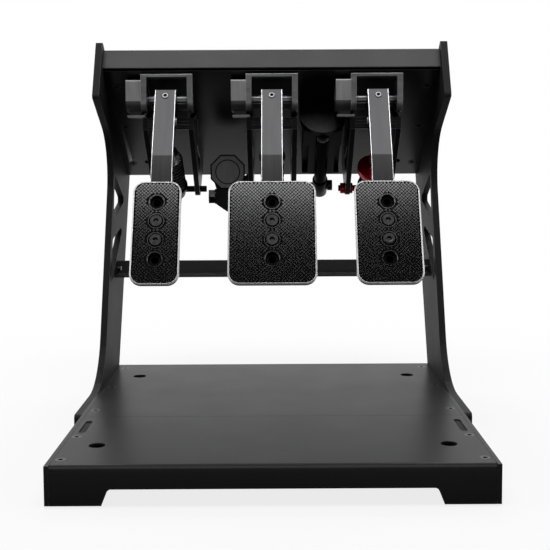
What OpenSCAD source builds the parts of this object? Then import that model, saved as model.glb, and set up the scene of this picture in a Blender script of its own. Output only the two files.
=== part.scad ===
// Hanging three-pedal set: a floor base, two S-shaped side plates, a sloped deck under a hood,
// and three pedal modules that hang from the deck.
// X is across, Y runs from the driver to the back, Z is up. The origin is on the floor, under the middle.
// Outlines are lists of [distance behind the base's front edge, height above the floor, corner radius].

/* [Frame] */
// Width across the outsides of the two side plates
frame_w = 420; // [400:1:480]
// Depth from the front lip to the back of the side plates
frame_d = 545; // [540:1:580]
// Height of the side plates' top corners
frame_h = 448; // [442:1:470]
// Thickness of a side plate
side_t = 8; // [6:0.5:10]
// Distance of the side plate's toe behind the front edge
toe_y = 172; // [150:1:200]
// Where the front edge of the leg would meet the base top
leg_y = 314; // [305:1:325]
// Backward lean of the leg's front edge
leg_lean = 20.7; // [18:0.1:23]
// Depth of the head, from its knee to the back of the side plates
head_d = 237; // [230:1:245]
// Height of the head, from its knee to the top corners
head_h = 69; // [62:1:76]
// Height of the head's back edge
head_back_h = 20.3; // [16:0.1:24]
// Slope of the head's lower edge behind the knee
head_under_tilt = 28; // [25:1:31]
// Backward lean of the head's front edge above the knee
head_lean = 25.8; // [22:0.2:29]
// Radius between the base and the leg
foot_fillet = 82; // [60:1:95]
// Radius between the leg and the head
head_fillet = 70; // [50:1:80]
// Radius of the small outer corners
corner_r = 4; // [2:0.5:8]

/* [Side plate windows] */
// Rim between a window and the leg's front edge
window_rim = 14; // [10:1:20]
// Rim between a window and the leg's back edge
window_back_rim = 34; // [26:1:42]
// Height of the lower window's low corner above the base
window_low = 108; // [90:1:120]
// Distance of the upper window's high corner below the knee
window_high = 91; // [80:1:100]
// Height of the web between the two windows, at the front
window_web = 22; // [16:1:28]
// Rise of the lower window's upper edge and of the upper window's lower edge, front to back
window_rise = [14, 23];
// Corner radius of the windows
window_r = 5; // [2:0.5:8]

/* [Base] */
// Depth of the base
base_d = 425; // [415:1:440]
// Height of the base's top face
base_h = 38; // [34:1:44]
// Height of the rubber feet
foot_h = 2; // [1:0.5:4]
// Diameter of the rubber feet
foot_d = 24; // [16:1:26]
// Thickness of the cover sheet
cover_t = 3; // [2:0.5:4]
// Outer radius of the front bend
bend_r = 6; // [4.5:0.5:8]
// Depth of the front cover, up to the seam
front_cover_d = 165; // [155:1:170]
// Gap around the covers
cover_gap = 0.3; // [0.2:0.1:0.6]
// Thickness of the side rails
rail_t = 4; // [3:0.5:5]
// Width of the rail's flange under the covers
rail_flange = 20; // [16:1:24]
// Height of the lip between its two corner legs
lip_z = 17; // [12:1:22]
// Length of the lip's corner legs at the floor
lip_leg = 46; // [36:1:56]
// How far the cut-out slants in on each side
lip_slant = 6; // [3:1:10]
// Distance between the floor bolts, across
bolt_x = 332; // [312:1:336]
// Distance between the floor bolts, front to back
bolt_y = 294; // [280:1:310]
// Distance of the front floor bolts behind the front edge
bolt_front_y = 63; // [50:1:70]
// Diameter of the floor bolt holes
bolt_hole_d = 9; // [7:0.5:11]
// Diameter of the access holes in the covers
access_d = 16; // [14:0.5:20]
// Width of the cross members
member_w = 40; // [34:1:46]
// Thickness of the cross members
member_t = 4; // [3:0.5:5]
// Length and width of the slots beside the front holes
side_slot = [44, 7];
// Distance of the side slots behind the front edge
side_slot_y = 127; // [122:1:132]

/* [Deck and hood] */
// Downward slope of the deck, front to back
deck_tilt = 35; // [33:0.5:37]
// Length of the deck along its slope
deck_len = 222; // [215:1:228]
// Thickness of the deck
deck_t = 5; // [4:0.5:6]
// Set-back of the deck's front edge behind the knee
deck_back = 32; // [28:1:36]
// Height of the deck's front edge above the knee
deck_rise = 33; // [29:1:37]
// Distance along the deck of its first screw
deck_screw_u = 29; // [24:1:34]
// Distance between the deck's screws along the slope
deck_screw_pitch = 82; // [78:1:86]
// Thickness of the hood sheet
hood_t = 2.5; // [2:0.5:3]
// Set-back of the hood's face behind the head's front edge
hood_back = 12; // [9:1:14]
// Distance of the hood's top below the side plates' top edge
hood_drop = 2; // [1:0.5:4]
// Height of the hood's lower edge above the deck's front edge
hood_low = 3.5; // [2:0.5:6]
// Width of the deck bracket's leg against the deck
bracket_w = 20; // [16:1:24]
// Height of the deck bracket's leg against the side plate
bracket_h = 18; // [14:1:19]
// Thickness of the deck brackets
bracket_t = 4; // [3:0.5:5]
// Distance of the crossbar's web behind the front edge
crossbar_y = 426; // [424:1:432]
// Height of the crossbar's lower edge
crossbar_z = 155; // [150:1:158]
// Height of the crossbar's web and width of its flange
crossbar_web = 20; // [16:1:26]
// Thickness of the crossbar
crossbar_t = 3; // [2:0.5:4]

/* [Pedal modules] */
// Distance between neighbouring pedals
pedal_pitch = 126; // [122:1:132]
// Width across the yoke's ears
yoke_w = 62; // [60:1:66]
// Thickness of the yoke's ears and of the cheeks
ear_t = 6.5; // [5:0.5:7]
// Thickness of the yoke's web
yoke_web_t = 3; // [2.5:0.5:4]
// Radius of the ear around the axle
ear_r = 16; // [15:0.5:17]
// Distance of the yoke's flat front below the line of the deck
yoke_drop = 6; // [4:0.5:8]
// Length of the yoke along the deck
yoke_len = 72; // [68:1:74]
// Distance of the axle along the deck
axle_u = 30; // [28:1:32]
// Distance of the axle below the deck
axle_n = 20; // [19.5:0.5:21]
// Diameter of the axle
axle_d = 10; // [8:0.5:11]
// Outer diameter of the axle bearings
bearing_d = 16; // [14:0.5:18]
// Width of the sensor housing
sensor_w = 18; // [14:0.5:20]
// Distance along the deck where a cheek ends
cheek_end_u = 200; // [196:1:206]
// Distance along the deck of the rear seat's pins
seat_u = 170; // [166:1:176]
// Diameter of the rear seat's pins
seat_pin_d = 8; // [6:0.5:9]

/* [Arms] */
// Width of a pedal arm
arm_w = 24; // [22:0.5:28]
// Thickness of a pedal arm
arm_t = 10; // [8:0.5:10]
// Distance of the arm's bend in front of the axle
bend_front = 70; // [68:1:74]
// Distance of the arm's bend below the axle
bend_drop = 67; // [65:1:71]
// Lean of the arm above its bend
arm_lean = 30; // [29:0.5:31]
// Length of the arm above its bend
arm_upper = 90; // [86:1:93]
// Length of the arm below its bend
arm_lower = 148; // [144:1:154]
// Radius of the arm's hub
hub_r = 13; // [11:0.5:13.5]
// Distance from the axle to the clevis pin
link_r = 38; // [37:0.5:39]
// Diameter of the clevis pin
clevis_pin_d = 8; // [6:0.5:8]
// Width of the rod's eye
eye_w = 10; // [8:0.5:12]
// Diameter of the push rod
rod_d = 8; // [6:0.5:8]
// Full travel of the clutch and throttle arms
travel = 20; // [16:1:22]

/* [Pedal faces] */
// Width of the clutch face
clutch_face_w = 53; // [45:1:70]
// Width of the brake face
brake_face_w = 96; // [80:1:110]
// Width of the throttle face
throttle_face_w = 72; // [60:1:85]
// Height of the faces
face_h = 120; // [110:1:130]
// Thickness of the faces
face_t = 6; // [5:0.5:8]
// Lean of the faces
face_lean = 25; // [22:0.5:28]
// Corner radius of the faces
face_r = 13; // [8:0.5:16]
// Width and depth of the step around the face's edge
face_rim = 1.5; // [1:0.25:2]
// Distance of the face's front behind which the arm lies
face_standoff = 31; // [27:0.5:35]
// Distance of the face's middle below the bend, along the arm
face_along = 105.5; // [98:0.5:112]
// Distance between the face's holes
face_hole_pitch = 22; // [20:0.5:24]
// Diameter of the face's holes at the front
face_hole_d = 16; // [13:0.5:17]
// Diameter of the face screws
face_screw_d = 8; // [6:0.5:8]

/* [Springs] */
// Mean radius of a spring
spring_r = 12; // [11:0.5:13]
// Diameter of the spring wire
wire_d = 3; // [2:0.25:3]
// Turns of the clutch spring
clutch_turns = 8; // [6:1:9]
// Turns of the throttle spring
throttle_turns = 3; // [2:1:3]
// Distance along the deck of the front end of the clutch spring and the brake stack
spring_u = 100; // [96:1:104]
// Distance along the deck of the front end of the throttle spring
throttle_spring_u = 132; // [126:1:134]
// Diameter of the throttle's adjusting wheel
wheel_d = 35; // [30:1:40]
// Number of pucks in the brake's stack
pucks = 4; // [3:1:5]
// Diameter of the pucks
puck_d = 30; // [26:1:34]

/* [Side units] */
// Diameter across the flats of the haptic can's ring
can_d = 44; // [38:1:46]
// Length of the haptic can
can_len = 24; // [18:1:28]
// Diameter of the haptic can's cap
can_cap_d = 30; // [24:1:34]
// Distance of the haptic can's front behind the axle
can_back = 65; // [63:1:67]
// Distance of the haptic can's axis below the axle
can_drop = 88.5; // [84:0.5:90]
// Diameter of the haptic bracket's bolt
can_bolt_d = 10; // [6:0.5:10]
// Width of the damper block
damper_w = 48; // [40:1:54]
// Depth of the damper block below the deck
damper_n = 40; // [34:1:44]
// Diameter of the damper's barrel
barrel_d = 16; // [13:0.5:18]

/* [Hidden] */
$fn = 64;

// Clearances
run_fit = 0.05;
press_fit = 0.02;
screw_fit = 0.1;
side_gap = 0.6;
seat_gap = 0.3;
rod_play = 1.3;

// Screws: shank and head
screw_d = 6;
screw_head_d = 10.5;
screw_head_h = 4;

// Degrees of an arc in one step of an outline
arc_step = 8;
// How far a cutter runs past a face
past = 1;

base_w = frame_w - 2 * side_t;
inner_x = base_w / 2;
web_x = inner_x - rail_t;
cover_x = web_x - cover_gap;
// Cover screws: from the sides, from the front and back ends, and from the seam
cover_screw_in = 11;
cover_screw_edge = 20;
cover_screw_slot = 73;
cover_screw_seam = 28;
cover_screw_x = inner_x - cover_screw_in;
cover_screws_front = [cover_screw_edge, front_cover_d - cover_screw_slot];
cover_screws_rear = [
    front_cover_d + cover_screw_seam, (front_cover_d + cover_screw_seam + base_d - cover_screw_edge) / 2,
    base_d - cover_screw_edge
];
side_slot_x = inner_x - 13;
bolt_rows = [bolt_front_y, bolt_front_y + bolt_y];
cover_z = base_h - cover_t;

knee_y = frame_d - head_d;
knee_z = frame_h - head_h;
head_top = [knee_y + head_h * tan(head_lean), frame_h];
top_back_z = frame_h - (frame_d - head_top.x) * tan(deck_tilt);
low_back_z = top_back_z - head_back_h;
// The leg's back edge runs from the base's back end to the head's lower back corner
leg_back_y = base_d;
leg_back_slope = (frame_d - leg_back_y) / (low_back_z - base_h);

deck_o = [knee_y + deck_back, knee_z + deck_rise];
deck_screw_x = inner_x - 12;
deck_screws = [for (i = [0:2]) deck_screw_u + i * deck_screw_pitch];
side_screw_u = [for (u = deck_screws) u + 14];
side_screw_w = deck_t + bracket_h / 2 + 1;
bracket_u = [12, deck_len - 12];
// Rail screws: four between the toe and the back end of the side plate
rail_screw_ends = [18, 25];
rail_screw_span = base_d - rail_screw_ends[1] - toe_y - rail_screw_ends[0];
rail_screws = [for (i = [0:3]) toe_y + rail_screw_ends[0] + i * rail_screw_span / 3];
rail_screw_z = (base_h + foot_h) / 2;
crossbar_screw = [crossbar_y + 1.5, crossbar_z + crossbar_web / 2];

clutch_x = -pedal_pitch;
brake_x = 0;
throttle_x = pedal_pitch;
damper_x = pedal_pitch / 2;

// A point of the deck's plane, from its distance along the slope and below the deck
function deck_pt(u, n) = deck_o + u * [cos(deck_tilt), -sin(deck_tilt)] - n * [sin(deck_tilt), cos(deck_tilt)];

axle = deck_pt(axle_u, axle_n);
// The pin lies square to the rod at mid travel, so that the rod hardly rocks
clevis_angle = -90 - deck_tilt - travel / 2;
clevis = axle + link_r * [cos(clevis_angle), sin(clevis_angle)];
clevis_u = (clevis - deck_o) * [cos(deck_tilt), -sin(deck_tilt)];
clevis_n = (deck_o - clevis) * [sin(deck_tilt), cos(deck_tilt)];
seat = deck_pt(seat_u, clevis_n);
seat_disc_d = 30;
seat_disc_t = 4;
seat_body_d = 22;
seat_body_l = 18;
seat_pin_out = 8.5;
seat_front_u = seat_u - seat_body_l / 2 - 1;
seat_back_u = seat_u + seat_body_l / 2;
inner_ear = yoke_w / 2 - ear_t;
yoke_front = axle.x - ear_r;
yoke_top_z = deck_o.y + (deck_o.x - yoke_front) * tan(deck_tilt) - yoke_drop;
yoke_flat_y = yoke_front + yoke_drop / tan(deck_tilt);

bend = axle - [bend_front, bend_drop];
up_dir = [sin(arm_lean), cos(arm_lean)];
low_dir = -[sin(face_lean), cos(face_lean)];
face_out = [-cos(face_lean), sin(face_lean)];
arm_in = [cos(arm_lean), -sin(arm_lean)];
arm_top = bend + arm_upper * up_dir;
face_mid = bend + face_along * low_dir + face_standoff * face_out;
face_holes = [for (i = [-1.5, -0.5, 0.5, 1.5]) 2 + i * face_hole_pitch];
foot_over = 11;
brace_size = [14, 14];
brace_low = axle - [1, 36];

// A vector of length one
function unit(v) = v / norm(v);
// Where the line through p at angle a meets the line through q at angle b
function meet(p, a, q, b) =
    let (d = [cos(a), sin(a)], e = [cos(b), sin(b)], w = q - p)
    p + d * (w.x * e.y - w.y * e.x) / (d.x * e.y - d.y * e.x);
// The arc that rounds corner b between a and c, no larger than its sides allow
function corner(a, b, c, r) =
    r <= 0 ? [b] :
    let (
        u = unit(a - b),
        w = unit(c - b),
        half = acos(u * w) / 2,
        fit = min(r, 0.45 * min(norm(a - b), norm(c - b)) * tan(half)),
        mid = b + unit(u + w) * fit / sin(half),
        p = b + u * fit / tan(half) - mid,
        q = b + w * fit / tan(half) - mid,
        start = atan2(p.y, p.x),
        swing = atan2(q.y, q.x) - start,
        turn = swing > 180 ? swing - 360 : swing < -180 ? swing + 360 : swing,
        steps = max(2, ceil(abs(turn) / arc_step))
    )
    [for (i = [0:steps]) mid + fit * [cos(start + turn * i / steps), sin(start + turn * i / steps)]];
function flat(p) = [p[0], p[1]];
// An outline with each corner rounded by its third number
function rounded(pts) =
    let (n = len(pts))
    [for (i = [0:n - 1])
        each corner(flat(pts[(i + n - 1) % n]), flat(pts[i]), flat(pts[(i + 1) % n]), pts[i][2])];
function with_r(p, r) = [p[0], p[1], r];
// A line of sheet metal moved sideways by its thickness
function moved(p, t) =
    [for (i = [0:len(p) - 1])
        let (
            a = i > 0 ? unit(p[i] - p[i - 1]) : unit(p[1] - p[0]),
            b = i < len(p) - 1 ? unit(p[i + 1] - p[i]) : a,
            side = [-a.y, a.x],
            m = unit(side + [-b.y, b.x])
        )
        p[i] + m * t / (m * side)];
// The section of a bent sheet: its outer line, its thickness to the left of that line, and the outer bend
function sheet(p, t, r) =
    let (last = len(p) - 1, inner = moved(p, t))
    rounded(concat(
        [for (i = [0:last]) with_r(p[i], i == 0 || i == last ? 0 : r)],
        [for (i = [last:-1:0]) with_r(inner[i], i == 0 || i == last ? 0 : max(0.2, r - abs(t)))]
    ));
// The point where a line from p touches the circle of radius r around c; side is 1 or -1
function tangent(p, c, r, side) =
    let (v = p - c, a = atan2(v.y, v.x) + side * acos(r / norm(v)))
    c + r * [cos(a), sin(a)];
function leg_front(z) = leg_y + (z - base_h) * tan(leg_lean);
function leg_back(z) = leg_back_y + (z - base_h) * leg_back_slope;

// A side-view outline made solid from x0 to x1
module slab(x0, x1) {
    translate([x0, -frame_d / 2, 0])
        rotate([90, 0, 90])
            linear_extrude(x1 - x0)
                children();
}
// The same outline twice, on both sides of x
module both(x, x0, x1) {
    slab(x + x0, x + x1) children();
    slab(x - x1, x - x0) children();
}
// A round bar along X through a side-view point
module bar(p, x0, x1, d) {
    slab(x0, x1) translate(p) circle(d = d);
}
// Deck frame: X across, Y along the slope, Z up out of the deck's lower face
module on_deck(x) {
    translate([x, deck_o.x - frame_d / 2, deck_o.y])
        rotate([-deck_tilt, 0, 0])
            children();
}
// A round bar along the deck's slope
module deck_bar(x, u0, u1, n, d) {
    on_deck(x)
        translate([0, u0, -n])
            rotate([-90, 0, 0])
                cylinder(d = d, h = u1 - u0);
}
module deck_hex(x, u0, u1, n, flats) {
    on_deck(x)
        translate([0, u0, -n])
            rotate([-90, 0, 0])
                cylinder(d = flats / cos(30), h = u1 - u0, $fn = 6);
}
// A block in the deck frame
module deck_block(x0, x1, u0, u1, w0, w1) {
    on_deck(0)
        translate([x0, u0, w0])
            cube([x1 - x0, u1 - u0, w1 - w0]);
}
// A hole or pin standing upright at a place of the base
module upright(x, y, z0, z1, d) {
    translate([x, y - frame_d / 2, z0])
        cylinder(d = d, h = z1 - z0);
}
// A hole or pin square to the deck
module deck_upright(x, u, w0, w1, d) {
    on_deck(x)
        translate([0, u, w0])
            cylinder(d = d, h = w1 - w0);
}
// Face frame: X across, Y up the face, Z out of its front
module on_face(x) {
    translate([x, face_mid.x - frame_d / 2, face_mid.y])
        rotate([90 - face_lean, 0, 0])
            children();
}

// Places of the frame's screws: covers, deck and side plates
module at_cover_screws(rows) {
    for (x = [-cover_screw_x, cover_screw_x], y = rows)
        translate([x, y - frame_d / 2, base_h])
            children();
}
module at_deck_screws() {
    for (x = [-deck_screw_x, deck_screw_x], u = deck_screws)
        on_deck(x)
            translate([0, u, 0])
                rotate([180, 0, 0])
                    children();
}
module at_side_screws(side) {
    places = concat(
        [for (u = side_screw_u) deck_pt(u, -side_screw_w)],
        [for (y = rail_screws) [y, rail_screw_z]],
        [crossbar_screw]
    );
    for (p = places)
        translate([side * frame_w / 2, p.x - frame_d / 2, p.y])
            rotate([0, side * 90, 0])
                children();
}
// A countersunk screw with its head's top at the origin, pointing down
module screw(len) {
    difference() {
        union() {
            translate([0, 0, -screw_head_h])
                cylinder(d = screw_head_d, h = screw_head_h);
            translate([0, 0, -len])
                cylinder(d = screw_d, h = len);
        }
        translate([0, 0, -screw_head_h / 2])
            cylinder(d = 4.6, h = screw_head_h, $fn = 6);
    }
}
module screw_hole(len) {
    translate([0, 0, -screw_head_h])
        cylinder(d = screw_head_d + 2 * screw_fit, h = screw_head_h + past);
    translate([0, 0, -len])
        cylinder(d = screw_d + 2 * screw_fit, h = len);
}
cover_screw_len = 12;
deck_screw_len = 12;
side_screw_len = side_t + 4;

// Base
module cover_cuts(rows, bolts) {
    for (x = [-bolt_x / 2, bolt_x / 2])
        upright(x, bolts, cover_z - past, base_h + past, access_d);
    at_cover_screws(rows)
        screw_hole(cover_screw_len + past);
}
module side_slots(z0, z1) {
    run = (side_slot[0] - side_slot[1]) / 2;
    for (x = [-side_slot_x, side_slot_x])
        translate([x - side_slot[1] / 2, side_slot_y - run - frame_d / 2, z0])
            cube([side_slot[1], 2 * run, z1 - z0]);
    for (x = [-side_slot_x, side_slot_x], y = [side_slot_y - run, side_slot_y + run])
        upright(x, y, z0, z1, side_slot[1]);
}
module base_front_cover() {
    half = cover_x - lip_leg;
    color([0.10, 0.10, 0.11])
        difference() {
            slab(-cover_x, cover_x)
                polygon(sheet([[0, foot_h], [0, base_h], [front_cover_d - cover_gap / 2, base_h]], -cover_t, bend_r));
            translate([0, past + bend_r - frame_d / 2, 0])
                rotate([90, 0, 0])
                    linear_extrude(past + bend_r + past)
                        polygon(rounded([
                            [-half, foot_h - past, 0], [-half, foot_h, 3], [lip_slant - half, lip_z, 5],
                            [half - lip_slant, lip_z, 5], [half, foot_h, 3], [half, foot_h - past, 0]
                        ]));
            cover_cuts(cover_screws_front, bolt_rows[0]);
            side_slots(cover_z - past, base_h + past);
        }
}
module base_rear_cover() {
    color([0.10, 0.10, 0.11])
        difference() {
            slab(-cover_x, cover_x)
                polygon([
                    [front_cover_d + cover_gap / 2, cover_z], [base_d, cover_z],
                    [base_d, base_h], [front_cover_d + cover_gap / 2, base_h]
                ]);
            cover_cuts(cover_screws_rear, bolt_rows[1]);
        }
}
module base_side_rails() {
    color([0.08, 0.08, 0.09])
        difference() {
            union() {
                both(0, web_x, inner_x)
                    polygon([[0, foot_h], [base_d, foot_h], [base_d, base_h], [0, base_h]]);
                both(0, web_x - rail_flange, web_x)
                    polygon([
                        [bend_r, cover_z - rail_t], [base_d, cover_z - rail_t],
                        [base_d, cover_z], [bend_r, cover_z]
                    ]);
            }
            at_cover_screws(concat(cover_screws_front, cover_screws_rear))
                screw_hole(cover_screw_len + past);
            side_slots(cover_z - rail_t - past, cover_z + past);
            for (side = [-1, 1])
                at_side_screws(side)
                    screw_hole(side_screw_len + past);
        }
}
module base_cross_members() {
    wall_x = web_x - rail_flange - cover_gap;
    color([0.08, 0.08, 0.09])
        for (y = bolt_rows)
            difference() {
                union() {
                    slab(-web_x, web_x)
                        translate([y - member_w / 2, foot_h])
                            square([member_w, member_t]);
                    for (edge = [y - member_w / 2, y + member_w / 2 - member_t])
                        slab(-wall_x, wall_x)
                            translate([edge, foot_h])
                                square([member_t, cover_z - foot_h]);
                }
                for (x = [-bolt_x / 2, bolt_x / 2])
                    upright(x, y, foot_h - past, foot_h + member_t + past, bolt_hole_d);
            }
}
module rubber_feet() {
    color([0.05, 0.05, 0.05])
        for (x = [-web_x + foot_d / 2, web_x - foot_d / 2], y = bolt_rows)
            upright(x, y, 0, foot_h, foot_d);
}

// Side plates
module side_plate(side) {
    knee = [knee_y, knee_z];
    inner = meet([leg_y, base_h], 90 - leg_lean, knee, -head_under_tilt);
    outline = [
        [toe_y, foot_h, 0], [toe_y, base_h, corner_r], [leg_y, base_h, foot_fillet],
        with_r(inner, head_fillet), with_r(knee, corner_r), with_r(head_top, corner_r),
        [frame_d, top_back_z, corner_r], [frame_d, low_back_z, corner_r],
        [leg_back_y, base_h, 0], [leg_back_y, foot_h, 0]
    ];
    low_z = base_h + window_low;
    high_z = knee_z - window_high;
    web_low = (low_z + high_z - window_web) / 2;
    web_high = web_low + window_web;
    low_back = web_low + window_rise[0];
    high_back = web_high + window_rise[1];
    color([0.09, 0.09, 0.10])
        difference() {
            slab(side > 0 ? inner_x : -inner_x - side_t, side > 0 ? inner_x + side_t : -inner_x)
                difference() {
                    polygon(rounded(outline));
                    polygon(rounded([
                        [leg_front(web_high) + window_rim, web_high, window_r],
                        [leg_back(high_back) - window_back_rim, high_back, window_r],
                        [leg_front(high_z) + window_rim / 2, high_z, window_r]
                    ]));
                    polygon(rounded([
                        [leg_front(low_z) + window_rim, low_z, window_r],
                        [leg_back(low_back) - window_back_rim, low_back, window_r],
                        [leg_front(web_low) + window_rim, web_low, window_r]
                    ]));
                }
            at_side_screws(side)
                screw_hole(side_screw_len + past);
        }
}

// Deck, its brackets and the hood
module pedal_deck() {
    color([0.12, 0.12, 0.13])
        difference() {
            deck_block(-inner_x, inner_x, 0, deck_len, 0, deck_t);
            at_deck_screws()
                screw_hole(deck_screw_len + past);
            for (x = [-inner_x + 32, inner_x - 32])
                deck_upright(x, deck_screws[2] - 3, -past, deck_t + past, 8);
        }
}
module deck_brackets() {
    color([0.08, 0.08, 0.09])
        difference() {
            for (side = [-1, 1]) {
                low_x = side > 0 ? inner_x - bracket_w : -inner_x;
                leg_x = side > 0 ? inner_x - bracket_t : -inner_x;
                deck_block(low_x, low_x + bracket_w, bracket_u[0], bracket_u[1], deck_t, deck_t + bracket_t);
                deck_block(leg_x, leg_x + bracket_t, bracket_u[0], bracket_u[1], deck_t, deck_t + bracket_h);
            }
            at_deck_screws()
                screw_hole(deck_screw_len + past);
            for (side = [-1, 1])
                at_side_screws(side)
                    screw_hole(side_screw_len + past);
        }
}
module top_hood() {
    face_foot = [knee_y + hood_back, knee_z];
    top_line = head_top - hood_drop * [sin(deck_tilt), cos(deck_tilt)];
    top_front = meet(face_foot, 90 - head_lean, top_line, -deck_tilt);
    face_low_z = deck_o.y + hood_low;
    face_low = [face_foot.x + (face_low_z - knee_z) * tan(head_lean), face_low_z];
    top_w = (top_line - deck_o) * [sin(deck_tilt), cos(deck_tilt)];
    color([0.16, 0.16, 0.17])
        slab(-inner_x, inner_x)
            polygon(sheet([face_low, top_front, deck_pt(deck_len, -top_w), deck_pt(deck_len, -deck_t - 4)], -hood_t, 4));
}
module rear_crossbar() {
    color([0.09, 0.09, 0.10])
        difference() {
            slab(-inner_x, inner_x)
                polygon(sheet([
                    [crossbar_y + crossbar_t, crossbar_z + crossbar_web], [crossbar_y + crossbar_t, crossbar_z],
                    [crossbar_y + crossbar_t - crossbar_web, crossbar_z]
                ], -crossbar_t, 4));
            for (side = [-1, 1])
                at_side_screws(side)
                    screw_hole(side_screw_len + past);
        }
}
box_size = [110, 70, 17];
box_u = 70;
port_size = [12, 8, 8];
port_pitch = 18;
port_rise = 4;
module controller_box() {
    back = box_u + box_size.y;
    color([0.06, 0.06, 0.07])
        difference() {
            deck_block(-box_size.x / 2, box_size.x / 2, box_u, back, deck_t, deck_t + box_size.z);
            for (i = [-2:2])
                deck_block(i * port_pitch - port_size.x / 2, i * port_pitch + port_size.x / 2,
                    back - port_size.y, back + past, deck_t + port_rise, deck_t + port_rise + port_size.z);
        }
}
module frame_screws() {
    color([0.2, 0.2, 0.2]) {
        at_cover_screws(concat(cover_screws_front, cover_screws_rear))
            screw(cover_screw_len);
        at_deck_screws()
            screw(deck_screw_len);
        for (side = [-1, 1])
            at_side_screws(side)
                screw(side_screw_len);
        haptic_bolt();
        damper_bolt();
    }
}

// Pedal module: the parts that stay
module yoke(x) {
    front_top = [yoke_front, yoke_top_z];
    flat_end = [yoke_flat_y, yoke_top_z];
    back = deck_pt(yoke_len, 0);
    color([0.30, 0.30, 0.31])
        difference() {
            union() {
                both(x, inner_ear, yoke_w / 2) {
                    translate(axle) circle(r = ear_r);
                    polygon([front_top, [yoke_front, axle.y], axle, tangent(back, axle, ear_r, -1), back, flat_end]);
                }
                slab(x - yoke_w / 2, x + yoke_w / 2)
                    polygon(sheet([front_top, flat_end, back], -yoke_web_t, 0));
            }
            bar(axle, x - yoke_w, x + yoke_w, bearing_d + 2 * press_fit);
        }
}
// A cheek runs from the brace to an eye around the rear seat's pin
cheek_eye_r = 8.5;
cheek_gap = 6;
cheek_window_r = 3;
cheek_upper_window = [[yoke_len - 3, 24], [yoke_len + 12, 8], [seat_u - 12, 9]];
cheek_lower_window = [[yoke_len + 20, 38], [seat_u - 20, 24], [seat_u - 20, 48]];
function deck_corners(places, r) = [for (p = places) with_r(deck_pt(p[0], p[1]), r)];
module cheeks(x) {
    back = deck_pt(cheek_end_u, 0);
    color([0.14, 0.14, 0.15])
        difference() {
            both(x, inner_ear, yoke_w / 2)
                difference() {
                    union() {
                        translate(seat) circle(r = cheek_eye_r);
                        polygon([
                            brace_low, tangent(brace_low, seat, cheek_eye_r, 1), seat,
                            tangent(back, seat, cheek_eye_r, -1), back, deck_pt(yoke_len + cheek_gap, 0),
                            brace_low + brace_size, brace_low + [brace_size.x, 0]
                        ]);
                    }
                    polygon(rounded(deck_corners(cheek_upper_window, cheek_window_r)));
                    polygon(rounded(deck_corners(cheek_lower_window, cheek_window_r)));
                }
            bar(seat, x - yoke_w, x + yoke_w, seat_pin_d + 2 * press_fit);
        }
}
module brace(x) {
    groove = 1.6;
    color([0.12, 0.12, 0.13])
        difference() {
            slab(x - yoke_w / 2, x + yoke_w / 2)
                translate(brace_low)
                    square(brace_size);
            for (i = [1:3])
                slab(x - inner_ear, x + inner_ear)
                    translate(brace_low + [-past, i * brace_size.y / 4 - groove / 2])
                        square([past + groove, groove]);
        }
}
module bearings(x) {
    color([0.72, 0.72, 0.74])
        difference() {
            for (side = [-1, 1])
                bar(axle, x + (side > 0 ? inner_ear : -yoke_w / 2), x + (side > 0 ? yoke_w / 2 : -inner_ear), bearing_d);
            bar(axle, x - yoke_w, x + yoke_w, axle_d + 2 * run_fit);
        }
}
sensor_plate_t = 2.5;
sensor_plate_d = 24;
sensor_plate_drop = 6.5;
sensor_foot_d = 20;
sensor_bore_depth = 11;
sensor_bore_play = 0.6;
module sensor(x) {
    wall_r = ear_r - 1;
    front = axle.x - wall_r;
    top_z = axle.y + 23;
    left = x - yoke_w / 2 - sensor_w;
    right = x - yoke_w / 2;
    plate_low = axle.y - wall_r - sensor_plate_drop;
    color([0.26, 0.26, 0.27])
        difference() {
            union() {
                slab(left, right) {
                    translate(axle) circle(r = wall_r);
                    polygon(rounded([
                        [front, axle.y, 0], [front, top_z, 2], [front + 14, top_z, 0], with_r(deck_pt(46, 2), 0),
                        [axle.x + 22, axle.y - wall_r, 2], [axle.x, axle.y - wall_r, 0]
                    ]));
                }
                slab(left + 1.5, right + 4.5)
                    translate([front + 3, plate_low])
                        square([sensor_plate_d, sensor_plate_t]);
                slab(left + 3, right)
                    translate([axle.x - 6, plate_low])
                        square([sensor_foot_d, sensor_plate_drop + past]);
            }
            bar(axle, right - sensor_bore_depth, right + past, axle_d + 2 * sensor_bore_play);
        }
}
module rear_seat(x) {
    n = clevis_n;
    color([0.35, 0.35, 0.36])
        difference() {
            union() {
                deck_bar(x, seat_front_u, seat_front_u + seat_disc_t, n, seat_disc_d);
                deck_bar(x, seat_front_u, seat_back_u, n, seat_body_d);
                bar(seat, x - yoke_w / 2 - seat_pin_out, x + yoke_w / 2 + seat_pin_out, seat_pin_d);
            }
            deck_bar(x, seat_front_u - past, seat_back_u + past, n, rod_d + 2 * rod_play);
        }
}

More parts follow.
